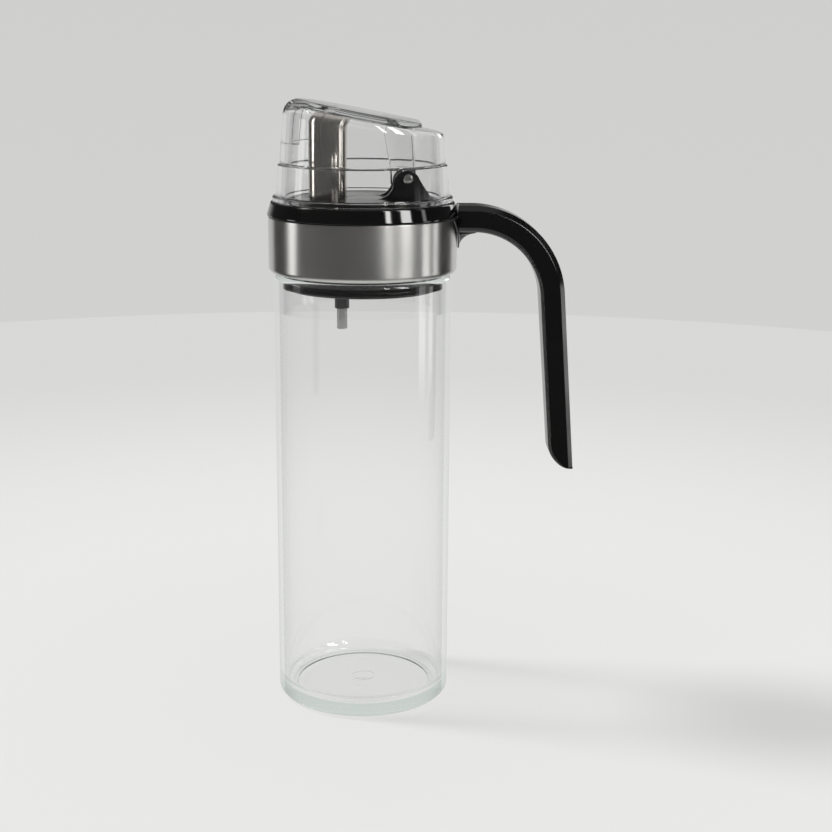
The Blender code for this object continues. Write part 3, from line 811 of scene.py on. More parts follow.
@dataclass
class SpoutDeck:
    """The black insert: deck with its groove, flange, plug and the two hinge ears."""

    top: float = 0.2043
    under: float = 0.2000
    radius: float = 0.0288
    flange_radius: float = 0.0330
    flange_top: float = 0.1989
    flange_low: float = 0.1968
    plug_radius: float = 0.0290
    plug_bore: float = 0.0265
    plug_bottom: float = 0.1687
    plug_floor: float = 0.0025
    groove_inner: float = 0.0262
    groove_outer: float = 0.0274
    groove_depth: float = 0.0008
    inlet_x: float = -0.0200
    inlet_radius: float = 0.0050
    tube_x: float = -0.0137
    tube_hole: float = 0.0078
    vent_x: float = -0.0083
    vent_hole: float = 0.0013
    ear_inner: float = 0.0062
    ear_outer: float = 0.0087
    ear_toe_x: float = 0.0052
    ear_heel_x: float = 0.0266
    ear_arch: Pair = (0.0168, 0.2104)
    ear_arch_radius: float = 0.0050
    ear_edge: float = 0.0004
    pin_x: float = 0.0174
    pin_z: float = 0.2120
    pin_hole: float = 0.0018
    fine: float = 0.0003          # rounding of the deck's edges
    plug_rounding: float = 0.0006
    ear_sink: float = 0.0005      # how far the ears reach into the deck

    def plate(self) -> Piece:
        """Make the deck, its flange and the plug under it, with their holes.

        Returns:
            The new object.
        """
        fine = self.fine
        drawn = Outline(steps=3)
        drawn.to(0, self.top).to(self.groove_inner, self.top, fine)
        drawn.to(self.groove_inner, self.top - self.groove_depth, fine)
        drawn.to(self.groove_outer, self.top - self.groove_depth, fine).to(self.groove_outer, self.top, fine)
        drawn.to(self.radius, self.top, fine).to(self.radius, self.flange_top)
        drawn.to(self.flange_radius, self.flange_top).to(self.flange_radius, self.flange_low)
        drawn.to(self.plug_radius, self.flange_low).to(self.plug_radius, self.plug_bottom, self.plug_rounding)
        drawn.to(0, self.plug_bottom)
        deck = turned("deck_plate", drawn)
        floor_top = self.plug_bottom + self.plug_floor
        shape(deck, rod("hollow", self.plug_bore, floor_top, self.under), Shaping.CUT)
        for name, radius, low, high, x in (
            ("tube_hole", self.tube_hole, self.under, self.top, self.tube_x),
            ("inlet", self.inlet_radius, self.plug_bottom, floor_top, self.inlet_x),
            ("vent", self.vent_hole, self.plug_bottom, floor_top, self.vent_x),
        ):
            shape(deck, rod(name, radius, low - OVER, high + OVER, x), Shaping.CUT)
        return deck

    def ear(self, low: float, high: float) -> Piece:
        """Make one ear: swept toe, round arch and sloping heel, with soft edges.

        Args:
            low: where it starts along Y.
            high: where it ends.

        Returns:
            The new object.
        """
        sink = self.top - self.ear_sink
        toe = self.ear_arch[0] - self.ear_arch_radius - self.ear_toe_x
        drawn = [(self.ear_toe_x, sink)]
        drawn += arc((self.ear_toe_x, self.top + toe), toe, -90, 0, 14)
        drawn += arc(self.ear_arch, self.ear_arch_radius, 165, 15, 20)
        drawn.append((self.ear_heel_x, sink))
        ear = extruded("ear", drawn, low, high)
        soften(ear, self.ear_edge)
        return ear

    def build(self) -> None:
        """Make the deck with its ears."""
        deck = self.plate()
        shape(deck, self.ear(-self.ear_outer, -self.ear_inner), Shaping.JOIN)
        shape(deck, self.ear(self.ear_inner, self.ear_outer), Shaping.JOIN)
        reach = self.ear_outer + OVER
        hole = rod("pin_hole", self.pin_hole, -reach, reach)
        shape(deck, laid_across(hole, self.pin_x, self.pin_z), Shaping.CUT)
        hand_over(deck, SATIN_BLACK, Body.BASE, "spout_deck")


@dataclass
class BottleGasket:
    """The black seal between the plug and the glass."""

    plug_radius: float = 0.0293
    radius: float = 0.0315        # just short of the glass wall
    bottom: float = 0.1697
    top: float = 0.1731
    bead: float = 0.0011
    waist: float = 0.0004

    def build(self) -> None:
        """Make the seal with its two round lips."""
        middle, waist = (self.bottom + self.top) / 2, self.waist
        drawn = Outline(steps=6)
        drawn.to(self.plug_radius, self.top).to(self.plug_radius, self.bottom)
        drawn.to(self.radius, self.bottom, self.bead).to(self.radius, middle - waist, waist)
        drawn.to(self.radius - waist / 2, middle, waist)
        drawn.to(self.radius, middle + waist, waist).to(self.radius, self.top, self.bead)
        hand_over(turned("gasket_ring", drawn), BLACK_RUBBER, Body.BASE, "bottle_gasket")


@dataclass
class AirVent:
    """The socket under the plug and the narrow pipe that it holds."""

    x: float = -0.0083
    top: float = 0.1684
    socket_radius: float = 0.00325
    socket_bottom: float = 0.1607
    flange: float = 0.0009
    pipe_radius: float = 0.00208
    pipe_bottom: float = 0.1525
    bore: float = 0.0013
    play: float = 0.0001          # between the pipe and the socket
    lip: float = 0.00035          # how far the flange stands out
    fine: float = 0.0002          # rounding of the small edges
    foot_rounding: float = 0.0005

    def build(self) -> None:
        """Make the socket with its flange and the pipe."""
        hole, waist, fine = self.pipe_radius + self.play, self.socket_radius - self.lip, self.fine
        ledge = self.top - self.flange
        socket = Outline(steps=4)
        socket.to(hole, self.socket_bottom, fine).to(waist, self.socket_bottom, self.foot_rounding)
        socket.to(waist, ledge, fine).to(self.socket_radius, ledge, fine)
        socket.to(self.socket_radius, self.top, fine).to(hole, self.top)
        made = turned("vent_collet", socket, MEDIUM, self.x)
        hand_over(made, VENT_GREY, Body.BASE, "vent_socket")
        pipe = Outline(steps=3)
        pipe.to(self.bore, self.pipe_bottom, fine).to(self.pipe_radius, self.pipe_bottom, fine * 1.5)
        pipe.to(self.pipe_radius, self.top).to(self.bore, self.top)
        hand_over(turned("vent_tube", pipe, MEDIUM, self.x), PIPE_STEEL, Body.BASE, "vent_pipe")


# ---------------------------------------------------------------- clear lid


@dataclass
class RoofPlane:
    """The slanted plane that the lid's roof, its seal and the tube's mouth lie along."""

    height: float = 0.2376        # over the bottle's axis
    slope: float = 0.1836         # fall towards the handle

    def at(self, x: float, depth: float = 0.0) -> float:
        """Return the height at x of the plane that lies depth under the roof."""
        return self.height - self.slope * x - depth * hypot(1, self.slope)

    def below(self, name: str, depth: float) -> Piece:
        """Make a block that fills everything under the plane at a depth."""
        return self.region(name, depth, self.height - REACH)

    def region(self, name: str, depth: float, level: float) -> Piece:
        """Make a block between the plane at a depth and a level height.

        Args:
            name: the object's name.
            depth: how far under the roof the slanted face lies.
            level: height of the level face.

        Returns:
            The new object.
        """
        sides = [[(x, level) for x in (-REACH, REACH)], [(x, self.at(x, depth)) for x in (-REACH, REACH)]]
        lower, upper = sorted(sides, key=lambda side: side[0][1])
        return extruded(name, lower + upper[::-1], -REACH, REACH)

    def disc(self, name: str, drawn: Outline | list[Pair], x: float) -> Piece:
        """Turn an outline into a disc that lies along the plane at x."""
        tilt = Matrix.Rotation(atan(self.slope), 4, "Y")
        return placed(turned(name, drawn, MEDIUM), Matrix.Translation((x, 0, self.at(x))) @ tilt)


@dataclass
class PouringTube:
    """The steel tube, cut off parallel to the roof."""

    roof: RoofPlane
    x: float = -0.0137
    radius: float = 0.0075
    wall: float = 0.0007
    bottom: float = 0.1990
    top_depth: float = 0.0056
    edge: float = 0.0002
    facets: int = 128

    def outline_at(self, azimuth: float) -> list[Pair]:
        """Draw the wall's section, with its slanted, rounded mouth.

        Args:
            azimuth: direction from the tube's axis, in radians.

        Returns:
            The section's points.
        """
        inner = self.radius - self.wall
        drawn = Outline(steps=3)
        drawn.to(inner, self.bottom).to(self.radius, self.bottom)
        for radius in (self.radius, inner):
            drawn.to(radius, self.roof.at(self.x + radius * cos(azimuth), self.top_depth), self.edge)
        return drawn.points()

    def build(self) -> None:
        """Make the tube."""
        made = ring_body("tube_spout", self.outline_at, self.facets, self.x)
        hand_over(made, TUBE_STEEL, Body.BASE, "pouring_tube")


@dataclass
class LidForm:
    """The form that the fixed shell and the flap are both cut from."""

    roof: RoofPlane
    thickness: float = 0.0024
    fillet: float = 0.0063
    bottom: float = 0.2033
    flange_radius: float = 0.0353
    flange_top: float = 0.2049
    foot_radius: float = 0.0339
    step_z: float = 0.2170
    step: float = 0.0007
    draft: float = 0.0700
    wall: float = 0.0034
    play: float = 0.0003
    edge: float = 0.0003
    wall_start: float = 0.0040    # how far over the step the plain wall starts
    headroom: float = 0.0200      # how far the space inside is drawn past the roof
    shoulder_steps: int = 14

    def wall_line(self, height: float) -> float:
        """Return the outer radius of the upper wall at a height."""
        return self.foot_radius - self.step - (height - self.flange_top) * self.draft

    def shoulder(self, azimuth: float) -> list[Pair]:
        """Draw the arc that rounds the wall into the roof.

        Args:
            azimuth: direction from the axis, in radians.

        Returns:
            The arc's points.
        """
        slope = self.roof.slope * cos(azimuth)
        roof_length = hypot(1, slope)
        wall_length = hypot(1, self.draft)
        roof = (slope / roof_length, 1 / roof_length, self.roof.height / roof_length - self.fillet)
        wall = (1 / wall_length, self.draft / wall_length)
        reach = (self.wall_line(self.roof.height) + self.draft * self.roof.height) / wall_length
        reach -= self.fillet
        spread = roof[0] * wall[1] - roof[1] * wall[0]
        centre_r = (roof[2] * wall[1] - roof[1] * reach) / spread
        centre_z = (roof[0] * reach - roof[2] * wall[0]) / spread
        ends = (degrees(atan(self.draft)), 90 - degrees(atan(slope)))
        return arc((centre_r, centre_z), self.fillet, *ends, self.shoulder_steps)

    def dome_outline(self, azimuth: float) -> list[Pair]:
        """Draw the outer form's section, flange to roof, closed on the axis.

        Args:
            azimuth: direction from the axis, in radians.

        Returns:
            The section's points.
        """
        step, edge = self.step_z, self.edge
        start = step + self.wall_start
        foot = Outline(steps=4)
        foot.to(0, self.bottom).to(self.flange_radius, self.bottom, edge / 2)
        foot.to(self.flange_radius, self.flange_top, edge).to(self.foot_radius, self.flange_top, edge * 2)
        foot.to(self.foot_radius - (step - self.flange_top) * self.draft, step, edge)
        foot.to(self.wall_line(step + edge), step + edge * 1.5, edge).to(self.wall_line(start), start)
        drawn = [point for corner in range(6) for point in foot.rounded(corner)]
        return drawn + self.shoulder(azimuth) + [(0, self.roof.height)]

    def dome(self, name: str) -> Piece:
        """Make the lid's solid outer form."""
        return ring_body(name, self.dome_outline)

    def hollow(self, name: str) -> Piece:
        """Make the space inside the wall, up past the roof.

        Args:
            name: the object's name.

        Returns:
            The new object.
        """
        low = self.foot_radius - self.wall
        shift = (self.step_z - self.flange_top) * self.draft
        top = self.roof.height + self.headroom
        upper = low - self.step - shift
        drawn = Outline(steps=4)
        drawn.to(0, self.bottom - OVER).to(low, self.bottom - OVER).to(low, self.flange_top)
        drawn.to(low - shift, self.step_z, self.edge * 2).to(upper, self.step_z + self.step, self.edge * 2)
        drawn.to(upper - (top - self.step_z) * self.draft, top).to(0, top)
        return turned(name, drawn)


@dataclass
class LidShell:
    """The fixed clear wall, cut off along the roof and notched for the flap's lip."""

    form: LidForm
    window_half_width: float = 0.0173
    window_bottom: float = 0.2255
    window_back_x: float = -0.0100
    edge: float = 0.00035

    def build(self) -> None:
        """Make the shell."""
        form = self.form
        shell = form.dome("lid_wall")
        shape(shell, form.hollow("hollow"), Shaping.CUT)
        shape(shell, form.roof.below("under_roof", form.thickness + form.play), Shaping.KEEP)
        low = (-REACH, -self.window_half_width, self.window_bottom)
        high = (self.window_back_x, self.window_half_width, form.roof.height + REACH)
        shape(shell, block("window", low, high), Shaping.CUT)
        soften(shell, self.edge)
        hand_over(shell, CLEAR_PLASTIC, Body.BASE, "lid_shell")


@dataclass
class LidFlap:
    """The moving roof with its front lip, seal boss and hollow hinge leg."""

    form: LidForm
    lip_half_width: float = 0.0170
    lip_bottom: float = 0.2258
    lip_back_x: float = -0.0120
    rear_x: float = 0.0222
    rear_relief: float = 0.0013
    ramp_start_x: float = 0.0154
    ramp_depth: float = 0.0020
    boss_radius: float = 0.0070
    boss_depth: float = 0.0030
    boss_x: float = -0.0137
    pin_x: float = 0.0174
    pin_z: float = 0.2120
    pin_hole: float = 0.0018
    leg_half_width: float = 0.0058
    leg_front_top_x: float = 0.0070
    leg_front_low_x: float = 0.0106
    leg_back_top_x: float = 0.0190
    leg_low_z: float = 0.2090
    leg_sink: float = 0.0008
    leg_corner: float = 0.0010
    leg_wall: float = 0.0020
    leg_web: float = 0.0026
    leg_rounding: float = 0.0010
    hollow_rounding: float = 0.0008
    knuckle_radius: float = 0.0032
    knuckle_web: float = 0.0008
    ceiling_front: float = 0.0015
    ceiling_rear: float = 0.0004
    edge: float = 0.00035

    def roof_and_lip(self) -> Piece:
        """Make the roof slab with the lip that closes the shell's notch.

        Returns:
            The new object.
        """
        form = self.form
        roof = form.roof
        flap = form.dome("lid_hood")
        top = roof.height + REACH
        kept = roof.region("over_parting", form.thickness, top)
        lip_low = (-REACH + OVER, -self.lip_half_width, self.lip_bottom)
        lip_high = (self.lip_back_x, self.lip_half_width, top - OVER)
        shape(kept, block("lip_region", lip_low, lip_high), Shaping.JOIN)
        shape(flap, kept, Shaping.KEEP)
        hollow = form.hollow("hollow")
        shape(hollow, roof.below("low_hollow", form.thickness + form.play), Shaping.KEEP)
        shape(flap, hollow, Shaping.CUT)
        low = (self.rear_x, -REACH, self.leg_low_z)
        shape(flap, block("rear", low, (REACH, REACH, top)), Shaping.CUT)
        return flap

    def ramp(self) -> Piece:
        """Make the wedge that thins the roof behind the pin, so that it clears the shell.

        Returns:
            The new object.
        """
        form = self.form
        start, end = self.ramp_start_x, self.rear_x + OVER
        corners = ((start, self.ramp_depth), (REACH, self.ramp_depth), (end, -self.rear_relief),
                   (start, form.play))
        drawn = [(x, form.roof.at(x, form.thickness + depth)) for x, depth in corners]
        return extruded("rear_ramp", drawn, -REACH, REACH)

    def leg(self) -> Piece:
        """Make the leg from the roof down round the pin.

        Returns:
            The new object.
        """
        top = self.form.thickness - self.leg_sink
        front = self.leg_front_low_x
        drawn = [(x, self.form.roof.at(x, top)) for x in (self.leg_back_top_x, self.leg_front_top_x)]
        drawn += [(front, self.pin_z + self.knuckle_radius), (front, self.leg_low_z + self.leg_corner),
                  (front + self.leg_corner, self.leg_low_z)]
        drawn += arc((self.pin_x, self.pin_z), self.knuckle_radius, -100, 20, 20)
        leg = extruded("leg", drawn, -self.leg_half_width, self.leg_half_width)
        soften(leg, self.leg_rounding, steps=5)
        return leg

    def leg_hollow(self) -> Piece:
        """Make the space inside the leg, open to the rear.

        Returns:
            The new object.
        """
        roof = self.form.roof
        back = self.rear_x + OVER
        sill = self.pin_z + self.knuckle_radius + self.knuckle_web
        front_top = roof.at(self.leg_front_top_x, self.form.thickness + self.ceiling_front)
        drawn = Outline(steps=4)
        drawn.to(self.leg_front_top_x + self.leg_web, front_top, self.hollow_rounding)
        drawn.to(self.leg_front_low_x + self.leg_web, sill, self.hollow_rounding).to(back, sill)
        drawn.to(back, roof.at(back, self.form.thickness + self.ceiling_rear))
        inner = self.leg_half_width - self.leg_wall
        return extruded("leg_hollow", drawn, -inner, inner)

    def build(self) -> None:
        """Make the flap."""
        form = self.form
        flap = self.roof_and_lip()
        shape(flap, self.ramp(), Shaping.CUT)
        soften(flap, self.edge)
        boss = [(0, -self.boss_depth), (self.boss_radius, -self.boss_depth),
                (self.boss_radius, -form.thickness / 2), (0, -form.thickness / 2)]
        shape(flap, form.roof.disc("boss", boss, self.boss_x), Shaping.JOIN)
        shape(flap, self.leg(), Shaping.JOIN)
        shape(flap, self.leg_hollow(), Shaping.CUT)
        reach = self.leg_half_width + OVER
        hole = rod("knuckle_hole", self.pin_hole, -reach, reach)
        shape(flap, laid_across(hole, self.pin_x, self.pin_z), Shaping.CUT)
        hand_over(flap, CLEAR_PLASTIC, Body.LID, "lid_flap")


@dataclass
class LidSeal:
    """The pale rubber disc under the flap that closes the tube."""

    roof: RoofPlane
    x: float = -0.0137
    radius: float = 0.0095
    top_depth: float = 0.0033
    bottom_depth: float = 0.0053
    rounding: float = 0.0006
    groove_radius: float = 0.0075
    groove_width: float = 0.0012
    groove_depth: float = 0.0003
    fine: float = 0.0002          # rounding of the groove's edges

    def build(self) -> None:
        """Make the disc with the shallow groove that the tube's mouth meets."""
        low, high, bed = -self.bottom_depth, -self.top_depth, self.groove_depth - self.bottom_depth
        inner, outer = (self.groove_radius + side * self.groove_width / 2 for side in (-1, 1))
        drawn = Outline(steps=5)
        drawn.to(0, high).to(0, low)
        for radius, height in ((inner, low), (inner, bed), (outer, bed), (outer, low)):
            drawn.to(radius, height, self.fine)
        drawn.to(self.radius, low, self.rounding).to(self.radius, high, self.rounding)
        hand_over(self.roof.disc("hood_seal", drawn, self.x), PALE_RUBBER, Body.LID, "lid_seal")


@dataclass
class HingePin:
    """The polished pin through the ears and the flap's knuckle."""

    x: float = 0.0174
    z: float = 0.2120
    radius: float = 0.0015
    half_length: float = 0.0090
    rounding: float = 0.0003
    facets: int = 48

    def build(self) -> None:
        """Make the pin with rounded ends."""
        drawn = Outline(steps=4)
        drawn.to(0, -self.half_length).to(self.radius, -self.half_length, self.rounding)
        drawn.to(self.radius, self.half_length, self.rounding).to(0, self.half_length)
        pin = laid_across(turned("pivot_pin", drawn, self.facets), self.x, self.z)
        hand_over(pin, PIN_STEEL, Body.BASE, "hinge_pin")


# ---------------------------------------------------------------- handle


@dataclass
class Handle:
    """The arm that bends through an arc into a leaning leg, on a shield-shaped foot."""

    arc_centre: Pair = (0.0430, 0.1650)
    arc_radius: float = 0.0367
    lean: float = radians(4.27)
    root_x: float = 0.0350
    root_depth: float = 0.0104
    bend_depth: float = 0.0096
    end_depth: float = 0.0095
    leg_length: float = 0.0719
    nose: float = 0.0097
    nose_power: float = 1.8
    tip_depth: float = 0.0010
    root_width: float = 0.0165
    end_width: float = 0.0145
    chamfer: float = 0.0020
    chamfer_share: float = 0.6    # the most of the depth that it takes
    rounding: float = 0.0030
    crease: float = 0.0007        # rounding of the chamfer's own edges
    bend_steps: int = 56
    leg_steps: int = 12
    nose_steps: int = 16
    foot_top: float = 0.1969
    foot_bottom: float = 0.1847
    foot_half_width: float = 0.0140
    foot_tip: float = 0.0004
    foot_edge: float = 0.0006
    foot_sink: float = 0.0040
    foot_swell: float = 0.0068
    foot_swell_share: float = 0.46
    foot_side_power: float = 1.3
    foot_steps: int = 40
    foot_across: int = 24
    band_seat: float = 0.0373
    collar_seat: float = 0.0377
    seat_step: float = 0.1971
    seat_margin: float = 0.0100

    def section(self, point: Vector, outward: Vector, depth: float, width: float) -> list[Vector]:
        """Draw one section: creased outer face, rounded inner edges.

        Args:
            point: middle of the outer face.
            outward: direction that face looks in.
            depth: from the outer face to the inner one.
            width: across the handle.

        Returns:
            The section's points.
        """
        half = width / 2
        chamfer = min(self.chamfer, depth * self.chamfer_share)
        drawn = Outline(steps=5)
        for side in (1, -1):
            corners = [(0.0, half - chamfer, self.crease), (-chamfer, half, self.crease),
                       (-depth, half, self.rounding)]
            for inset, across, rounding in corners[::side]:
                drawn.to(inset, across * side, rounding)
        return [point + outward * inset + Vector((0, across, 0)) for inset, across in drawn.points()]

    def stations(self) -> Iterator[tuple[Vector, Vector, float, float]]:
        """Follow the handle from the collar to its tip.

        Returns:
            The outer face's points, each with the outward direction, depth and width there.
        """
        centre = Vector((self.arc_centre[0], 0, self.arc_centre[1]))
        up = Vector((0, 0, 1))
        yield Vector((self.root_x, 0, centre.z + self.arc_radius)), up, self.root_depth, self.root_width
        outward = up
        for step in range(self.bend_steps + 1):
            share = step / self.bend_steps
            angle = pi / 2 + (self.lean - pi / 2) * share
            outward = Vector((cos(angle), 0, sin(angle)))
            depth = self.root_depth + (self.bend_depth - self.root_depth) * share
            yield centre + outward * self.arc_radius, outward, depth, self.root_width
        along = Vector((sin(self.lean), 0, -cos(self.lean)))
        start = centre + outward * self.arc_radius
        straight = self.leg_length - self.nose
        for step in range(1, self.leg_steps + 1):
            share = step / self.leg_steps
            depth = self.bend_depth + (self.end_depth - self.bend_depth) * share
            width = self.root_width + (self.end_width - self.root_width) * share
            yield start + along * straight * share, outward, depth, width
        for step in range(1, self.nose_steps + 1):
            share = sin(pi / 2 * step / self.nose_steps)
            left = sqrt(1 - min(1.0, share ** self.nose_power))
            depth = self.tip_depth + (self.end_depth - self.tip_depth) * left
            yield start + along * (straight + self.nose * share), outward, depth, self.end_width

    def foot_section(self, share: float) -> list[Vector]:
        """Draw a level section of the shield foot.

        Args:
            share: how far up the foot it lies, 0 to 1.

        Returns:
            The section's points.
        """
        height = self.foot_bottom + (self.foot_top - self.foot_bottom) * share
        half = self.foot_tip + (self.foot_half_width - self.foot_tip) * share
        rise = min(1.0, share / self.foot_swell_share)
        swell = self.foot_swell * (1 - sqrt(1 - rise ** 2))
        drawn = []
        for step in range(self.foot_across + 1):
            across = -half + 2 * half * step / self.foot_across
            face = sqrt((self.band_seat + self.foot_edge) ** 2 - across ** 2)
            bulge = swell * (0.5 + 0.5 * cos(pi * across / half)) ** self.foot_side_power
            drawn.append(Vector((face + bulge, across, height)))
        inside = self.band_seat - self.foot_sink
        return drawn + [Vector((inside, half, height)), Vector((inside, -half, height))]

    def build(self) -> None:
        """Make the handle, hollowed to sit on the collar and the band."""
        handle = lofted("handle_arm", [self.section(*station) for station in self.stations()])
        shares = [step / self.foot_steps for step in range(self.foot_steps + 1)]
        shape(handle, lofted("foot", [self.foot_section(share) for share in shares]), Shaping.JOIN)
        low = self.foot_bottom - self.seat_margin
        high = self.arc_centre[1] + self.arc_radius + self.seat_margin
        seat = [(0, low), (self.band_seat, low), (self.band_seat, self.seat_step),
                (self.collar_seat, self.seat_step), (self.collar_seat, high), (0, high)]
        shape(handle, turned("seat", seat), Shaping.CUT)
        hand_over(handle, HANDLE_BLACK, Body.BASE, "handle")


# ---------------------------------------------------------------- studio


@dataclass(frozen=True)
class Panel:
    """A soft-edged patch of light round the object, in degrees.

    Args:
        left: azimuth of its left edge. 0 is the viewer's side and 90 the handle's.
        right: azimuth of its right edge.
        low: elevation of its lower edge.
        high: elevation of its upper edge.
        glow: how bright it is.
        soft: half-width of its soft edges.
    """

    left: float
    right: float
    low: float
    high: float
    glow: float
    soft: float = 3.0

    def mask(self, board: NodeBoard, azimuth: object, elevation: object) -> Socket:
        """Work out the patch's light.

        Args:
            board: the world's nodes.
            azimuth: the ray's azimuth in degrees.
            elevation: its elevation in degrees.

        Returns:
            The output socket.
        """
        light: object = self.glow
        for angle, start, end in ((azimuth, self.left, self.right), (elevation, self.low, self.high)):
            for edge, fade in ((start, (0, 1)), (end, (1, 0))):
                share = board.remap(angle, (edge - self.soft, edge + self.soft), fade, smooth=True)
                light = board.math("MULTIPLY", light, share)
        return light


@dataclass
class Studio:
    """Pale floor, soft light all round and the camera."""

    floor_radius: float = 0.95
    floor_depth: float = 0.01
    floor_tone: float = 0.80
    # painted shade: the floor's tone far from the object, darker as if less light reached it
    far_shade_tone: float = 0.67
    shade_fade: Pair = (0.2, 0.7)         # distances over which the painted shade darkens its tone
    paper_clouds: float = 6.0             # cloudy patches to a metre
    paper_gloss: Pair = (0.85, 1.0)
    wall_wide: float = 0.005
    wall_top: float = 0.50
    wall_foot_glow: float = 0.64
    wall_top_glow: float = 0.62
    wall_back_y: float = 0.30     # in front of this, mirrored rays pass through the wall
    air: tuple[float, float, float, float] = (1.0, 1.0, 0.99, 1.0)
    dome_glow: float = 0.80
    backdrop_glow: float = 0.66
    room_glow: float = 0.06
    through_glow: float = 0.72    # what is seen through the clear pieces, behind them
    through_top: float = 14.0     # elevation over which it is dark
    through_low: float = -18.0    # elevation under which it is pale on the viewer's side too
    through_side: Pair = (0.55, 0.85)     # how far a ray must head away from the viewer to see it
    through_soft: float = 6.0     # half-width of the change at those elevations
    through_dim: float = 0.25     # what is left of the mirrored light round it
    key_azimuth: float = -103.0
    key_elevation: float = 47.0
    key_angle: float = 12.0
    key_strength: float = 1.0
    key_colour: Colour = (1.0, 0.995, 0.98)
    focal_pixels: float = 1520.0
    picture_width: float = 832.0
    sensor: float = 36.0
    camera_place: Place = (0.0, -0.598, 0.260)
    camera_yaw: float = -2.05
    camera_pitch: float = 13.5
    camera_roll: float = 0.4
    bounces: int = 28
    panels: tuple[Panel, ...] = (
        Panel(-82, 23, -30, 60, 0.04),
        Panel(29, 35, 10, 45, 17.0, 1.5),
        Panel(49, 62, 10, 45, 15.0, 1.5),
        Panel(77, 88, -12, 0, 2.6, 1.5),
        Panel(95, 102, -12, 0, 2.6, 1.5),
        Panel(79, 84, 10, 40, 3.0, 1.5),
        Panel(138, 150, 3, 30, 3.0, 2),
        Panel(136, 190, -40, 3, 0.6),
        Panel(-190, -138, -40, 3, 0.6),
        Panel(-101, -88, -8, 5, 3.4, 2),
        Panel(-190, 190, -95, -42, 0.75, 6),
        Panel(-190, 190, 66, 95, 0.45, 6),
    )

    def floor(self) -> None:
        """Lay the pale floor, its tone painted darker towards the edge as shade."""
        edge = self.floor_radius
        under = -self.floor_depth
        floor = turned("studio_floor", [(0, under), (edge, under), (edge, 0), (0, 0)], MEDIUM)
        made = bpy.data.materials.new("floor_paper")
        made.use_nodes = True
        board = NodeBoard(made.node_tree)
        cloud = board.noise((self.paper_clouds,) * 3, detail=2.0)
        place = board.add("NewGeometry").outputs["Position"]
        distance = board.add("VectorMath", {0: place}, operation="LENGTH").outputs["Value"]
        # Painted shade: the tone darkens with the distance from the middle of the floor.
        far = board.remap(distance, self.shade_fade, (0, 1), smooth=True)
        paper = board.add("BsdfPrincipled", {
            "Base Color": board.tones(far, (self.floor_tone,) * 3, (self.far_shade_tone,) * 3),
            "Roughness": board.remap(cloud, (0, 1), self.paper_gloss),
            "Specular IOR Level": 0.0,
        })
        board.add("OutputMaterial", {"Surface": paper.outputs[0]})
        floor.data.materials.append(made)
        floor.visible_glossy = False

    def ahead(self, board: NodeBoard, towards: object, away: object) -> Socket:
        """Tell what lies straight behind the object from what lies to its sides.

        Args:
            board: the nodes it is worked out in.
            towards: a ray's direction, or the place it meets.
            away: how far that is from the viewer's side.

        Returns:
            1 for what lies behind, 0 for what lies to the sides.
        """
        length = board.add("VectorMath", {0: towards}, operation="LENGTH").outputs["Value"]
        return board.remap(board.math("DIVIDE", away, length), self.through_side, (0, 1), smooth=True)

    def wall(self) -> None:
        """Stand the low pale wall round the floor, which only the eye and the clear pieces see."""
        inner, outer, foot = self.floor_radius - self.wall_wide, self.floor_radius, -self.wall_wide
        section = [(inner, foot), (outer, foot), (outer, self.wall_top), (inner, self.wall_top)]
        wall = turned("studio_wall", section)
        made = bpy.data.materials.new("wall_paper")
        made.use_nodes = True
        made.cycles.emission_sampling = "NONE"
        board = NodeBoard(made.node_tree)
        place = board.add("NewGeometry").outputs["Position"]
        axes = board.add("SeparateXYZ", {0: place}).outputs
        glow = board.remap(axes[2], (0, self.wall_top), (self.wall_foot_glow, self.wall_top_glow))
        light = board.add("Emission", {"Color": self.air, "Strength": glow})
        front = board.math("LESS_THAN", axes[1], self.wall_back_y)
        aside = board.opposite(self.ahead(board, place, axes[1]))
        hidden = board.math("MULTIPLY", board.passed("Glossy Depth"), board.math("MAXIMUM", front, aside))
        open_air = board.add("BsdfTransparent")
        seen = board.add("MixShader", {0: hidden, 1: light.outputs[0], 2: open_air.outputs[0]})
        board.add("OutputMaterial", {"Surface": seen.outputs[0]})
        wall.data.materials.append(made)
        wall.visible_glossy = False
        wall.visible_diffuse = False
        wall.visible_shadow = False

    def seen_through(
        self, board: NodeBoard, towards: object, away: object, elevation: object, mirrored: object
    ) -> Socket:
        """Work out the light for rays that went through a clear piece: pale behind it, dark round it.

        Args:
            board: the world's nodes.
            towards: the ray's direction.
            away: its part away from the viewer.
            elevation: its elevation in degrees.
            mirrored: the light for all other rays.

        Returns:
            The output socket.
        """
        low, down = (board.remap(elevation, (edge - self.through_soft, edge + self.through_soft), (1, 0),
                                 smooth=True) for edge in (self.through_top, self.through_low))
        straight = board.opposite(board.passed("Glossy Depth"))
        ahead = board.math("MAXIMUM", straight, self.ahead(board, towards, away))
        pale = board.math("MAXIMUM", board.math("MULTIPLY", ahead, low), down)
        dim = board.math("MULTIPLY", mirrored, self.through_dim)
        return board.blend(pale, dim, self.through_glow)

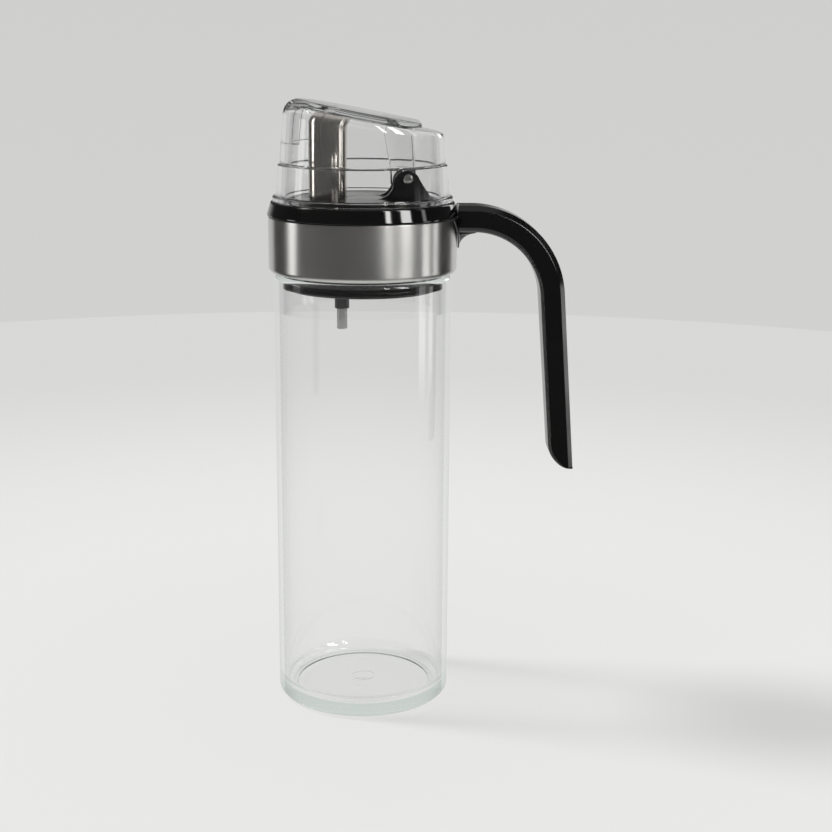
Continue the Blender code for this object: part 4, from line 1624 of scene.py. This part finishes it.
    def surroundings(self) -> None:
        """Set the light round the object: pale to look at, structured where it is mirrored."""
        world = bpy.data.worlds.new("studio_light")
        bpy.context.scene.world = world
        world.use_nodes = True
        world.cycles.sampling_method = "NONE"
        board = NodeBoard(world.node_tree)
        towards = board.add("TexCoord").outputs["Generated"]
        axes = board.add("SeparateXYZ", {0: towards}).outputs
        back = board.math("MULTIPLY", axes[1], -1.0)
        azimuth = board.math("DEGREES", board.math("ARCTAN2", axes[0], back))
        elevation = board.math("DEGREES", board.math("ARCSINE", axes[2]))
        mirrored: object = self.room_glow
        for panel in self.panels:
            mirrored = board.math("ADD", mirrored, panel.mask(board, azimuth, elevation))
        once = board.math("SUBTRACT", board.passed("Glossy Depth"), board.passed("Glossy Depth", 1.5))
        met = board.math("MULTIPLY", board.passed("Transmission Depth", 3.5), once)
        share = board.math("MULTIPLY", board.passed("Transmission Depth"), board.opposite(met))
        through = self.seen_through(board, towards, axes[1], elevation, mirrored)
        glow = board.blend(share, mirrored, through)
        glow = board.blend(board.add("LightPath").outputs["Is Camera Ray"], glow, self.backdrop_glow)
        glow = board.blend(board.passed("Diffuse Depth"), glow, self.dome_glow)
        light = board.add("Background", {"Color": self.air, "Strength": glow})
        board.add("OutputWorld", {"Surface": light.outputs[0]})

    def key(self) -> None:
        """Hang the soft key light at the left, a little behind."""
        lamp = bpy.data.lights.new("key", "SUN")
        lamp.energy = self.key_strength
        lamp.angle = radians(self.key_angle)
        lamp.color = self.key_colour
        lamp.cycles.use_multiple_importance_sampling = False
        key = bpy.data.objects.new("key", lamp)
        bpy.context.scene.collection.objects.link(key)
        azimuth, elevation = radians(self.key_azimuth), radians(self.key_elevation)
        towards = Vector((sin(azimuth) * cos(elevation), -cos(azimuth) * cos(elevation), sin(elevation)))
        key.rotation_mode = "QUATERNION"
        key.rotation_quaternion = towards.to_track_quat("Z", "Y")
        key.location = towards

    def camera(self) -> None:
        """Set the camera at its distance, height and lens."""
        data = bpy.data.cameras.new("camera")
        data.sensor_width = self.sensor
        data.lens = self.focal_pixels / self.picture_width * self.sensor
        camera = bpy.data.objects.new("camera", data)
        bpy.context.scene.collection.objects.link(camera)
        turn = Matrix.Rotation(radians(self.camera_yaw), 4, "Z")
        turn = turn @ Matrix.Rotation(radians(90 - self.camera_pitch), 4, "X")
        turn = turn @ Matrix.Rotation(radians(self.camera_roll), 4, "Z")
        camera.matrix_world = Matrix.Translation(self.camera_place) @ turn
        bpy.context.scene.camera = camera

    def build(self) -> None:
        """Set the whole studio, with enough light paths for the thick clear pieces."""
        bpy.context.scene.view_settings.view_transform = "Standard"
        paths = bpy.context.scene.cycles
        paths.max_bounces = self.bounces
        paths.glossy_bounces = self.bounces
        paths.transmission_bounces = self.bounces
        self.camera()
        self.floor()
        self.wall()
        self.surroundings()
        self.key()


def main() -> None:
    """Build every sub-assembly in order."""
    logging.basicConfig(level=logging.INFO, format="%(name)s: %(message)s")
    roof = RoofPlane()
    form = LidForm(roof)
    assemblies = (
        Studio(), GlassBottle(), SteelBand(), CapCollar(), SpoutDeck(), BottleGasket(), AirVent(),
        PouringTube(roof), LidShell(form), LidFlap(form), LidSeal(roof), HingePin(), Handle(),
    )
    for assembly in assemblies:
        assembly.build()


if __name__ == "__main__":
    main()
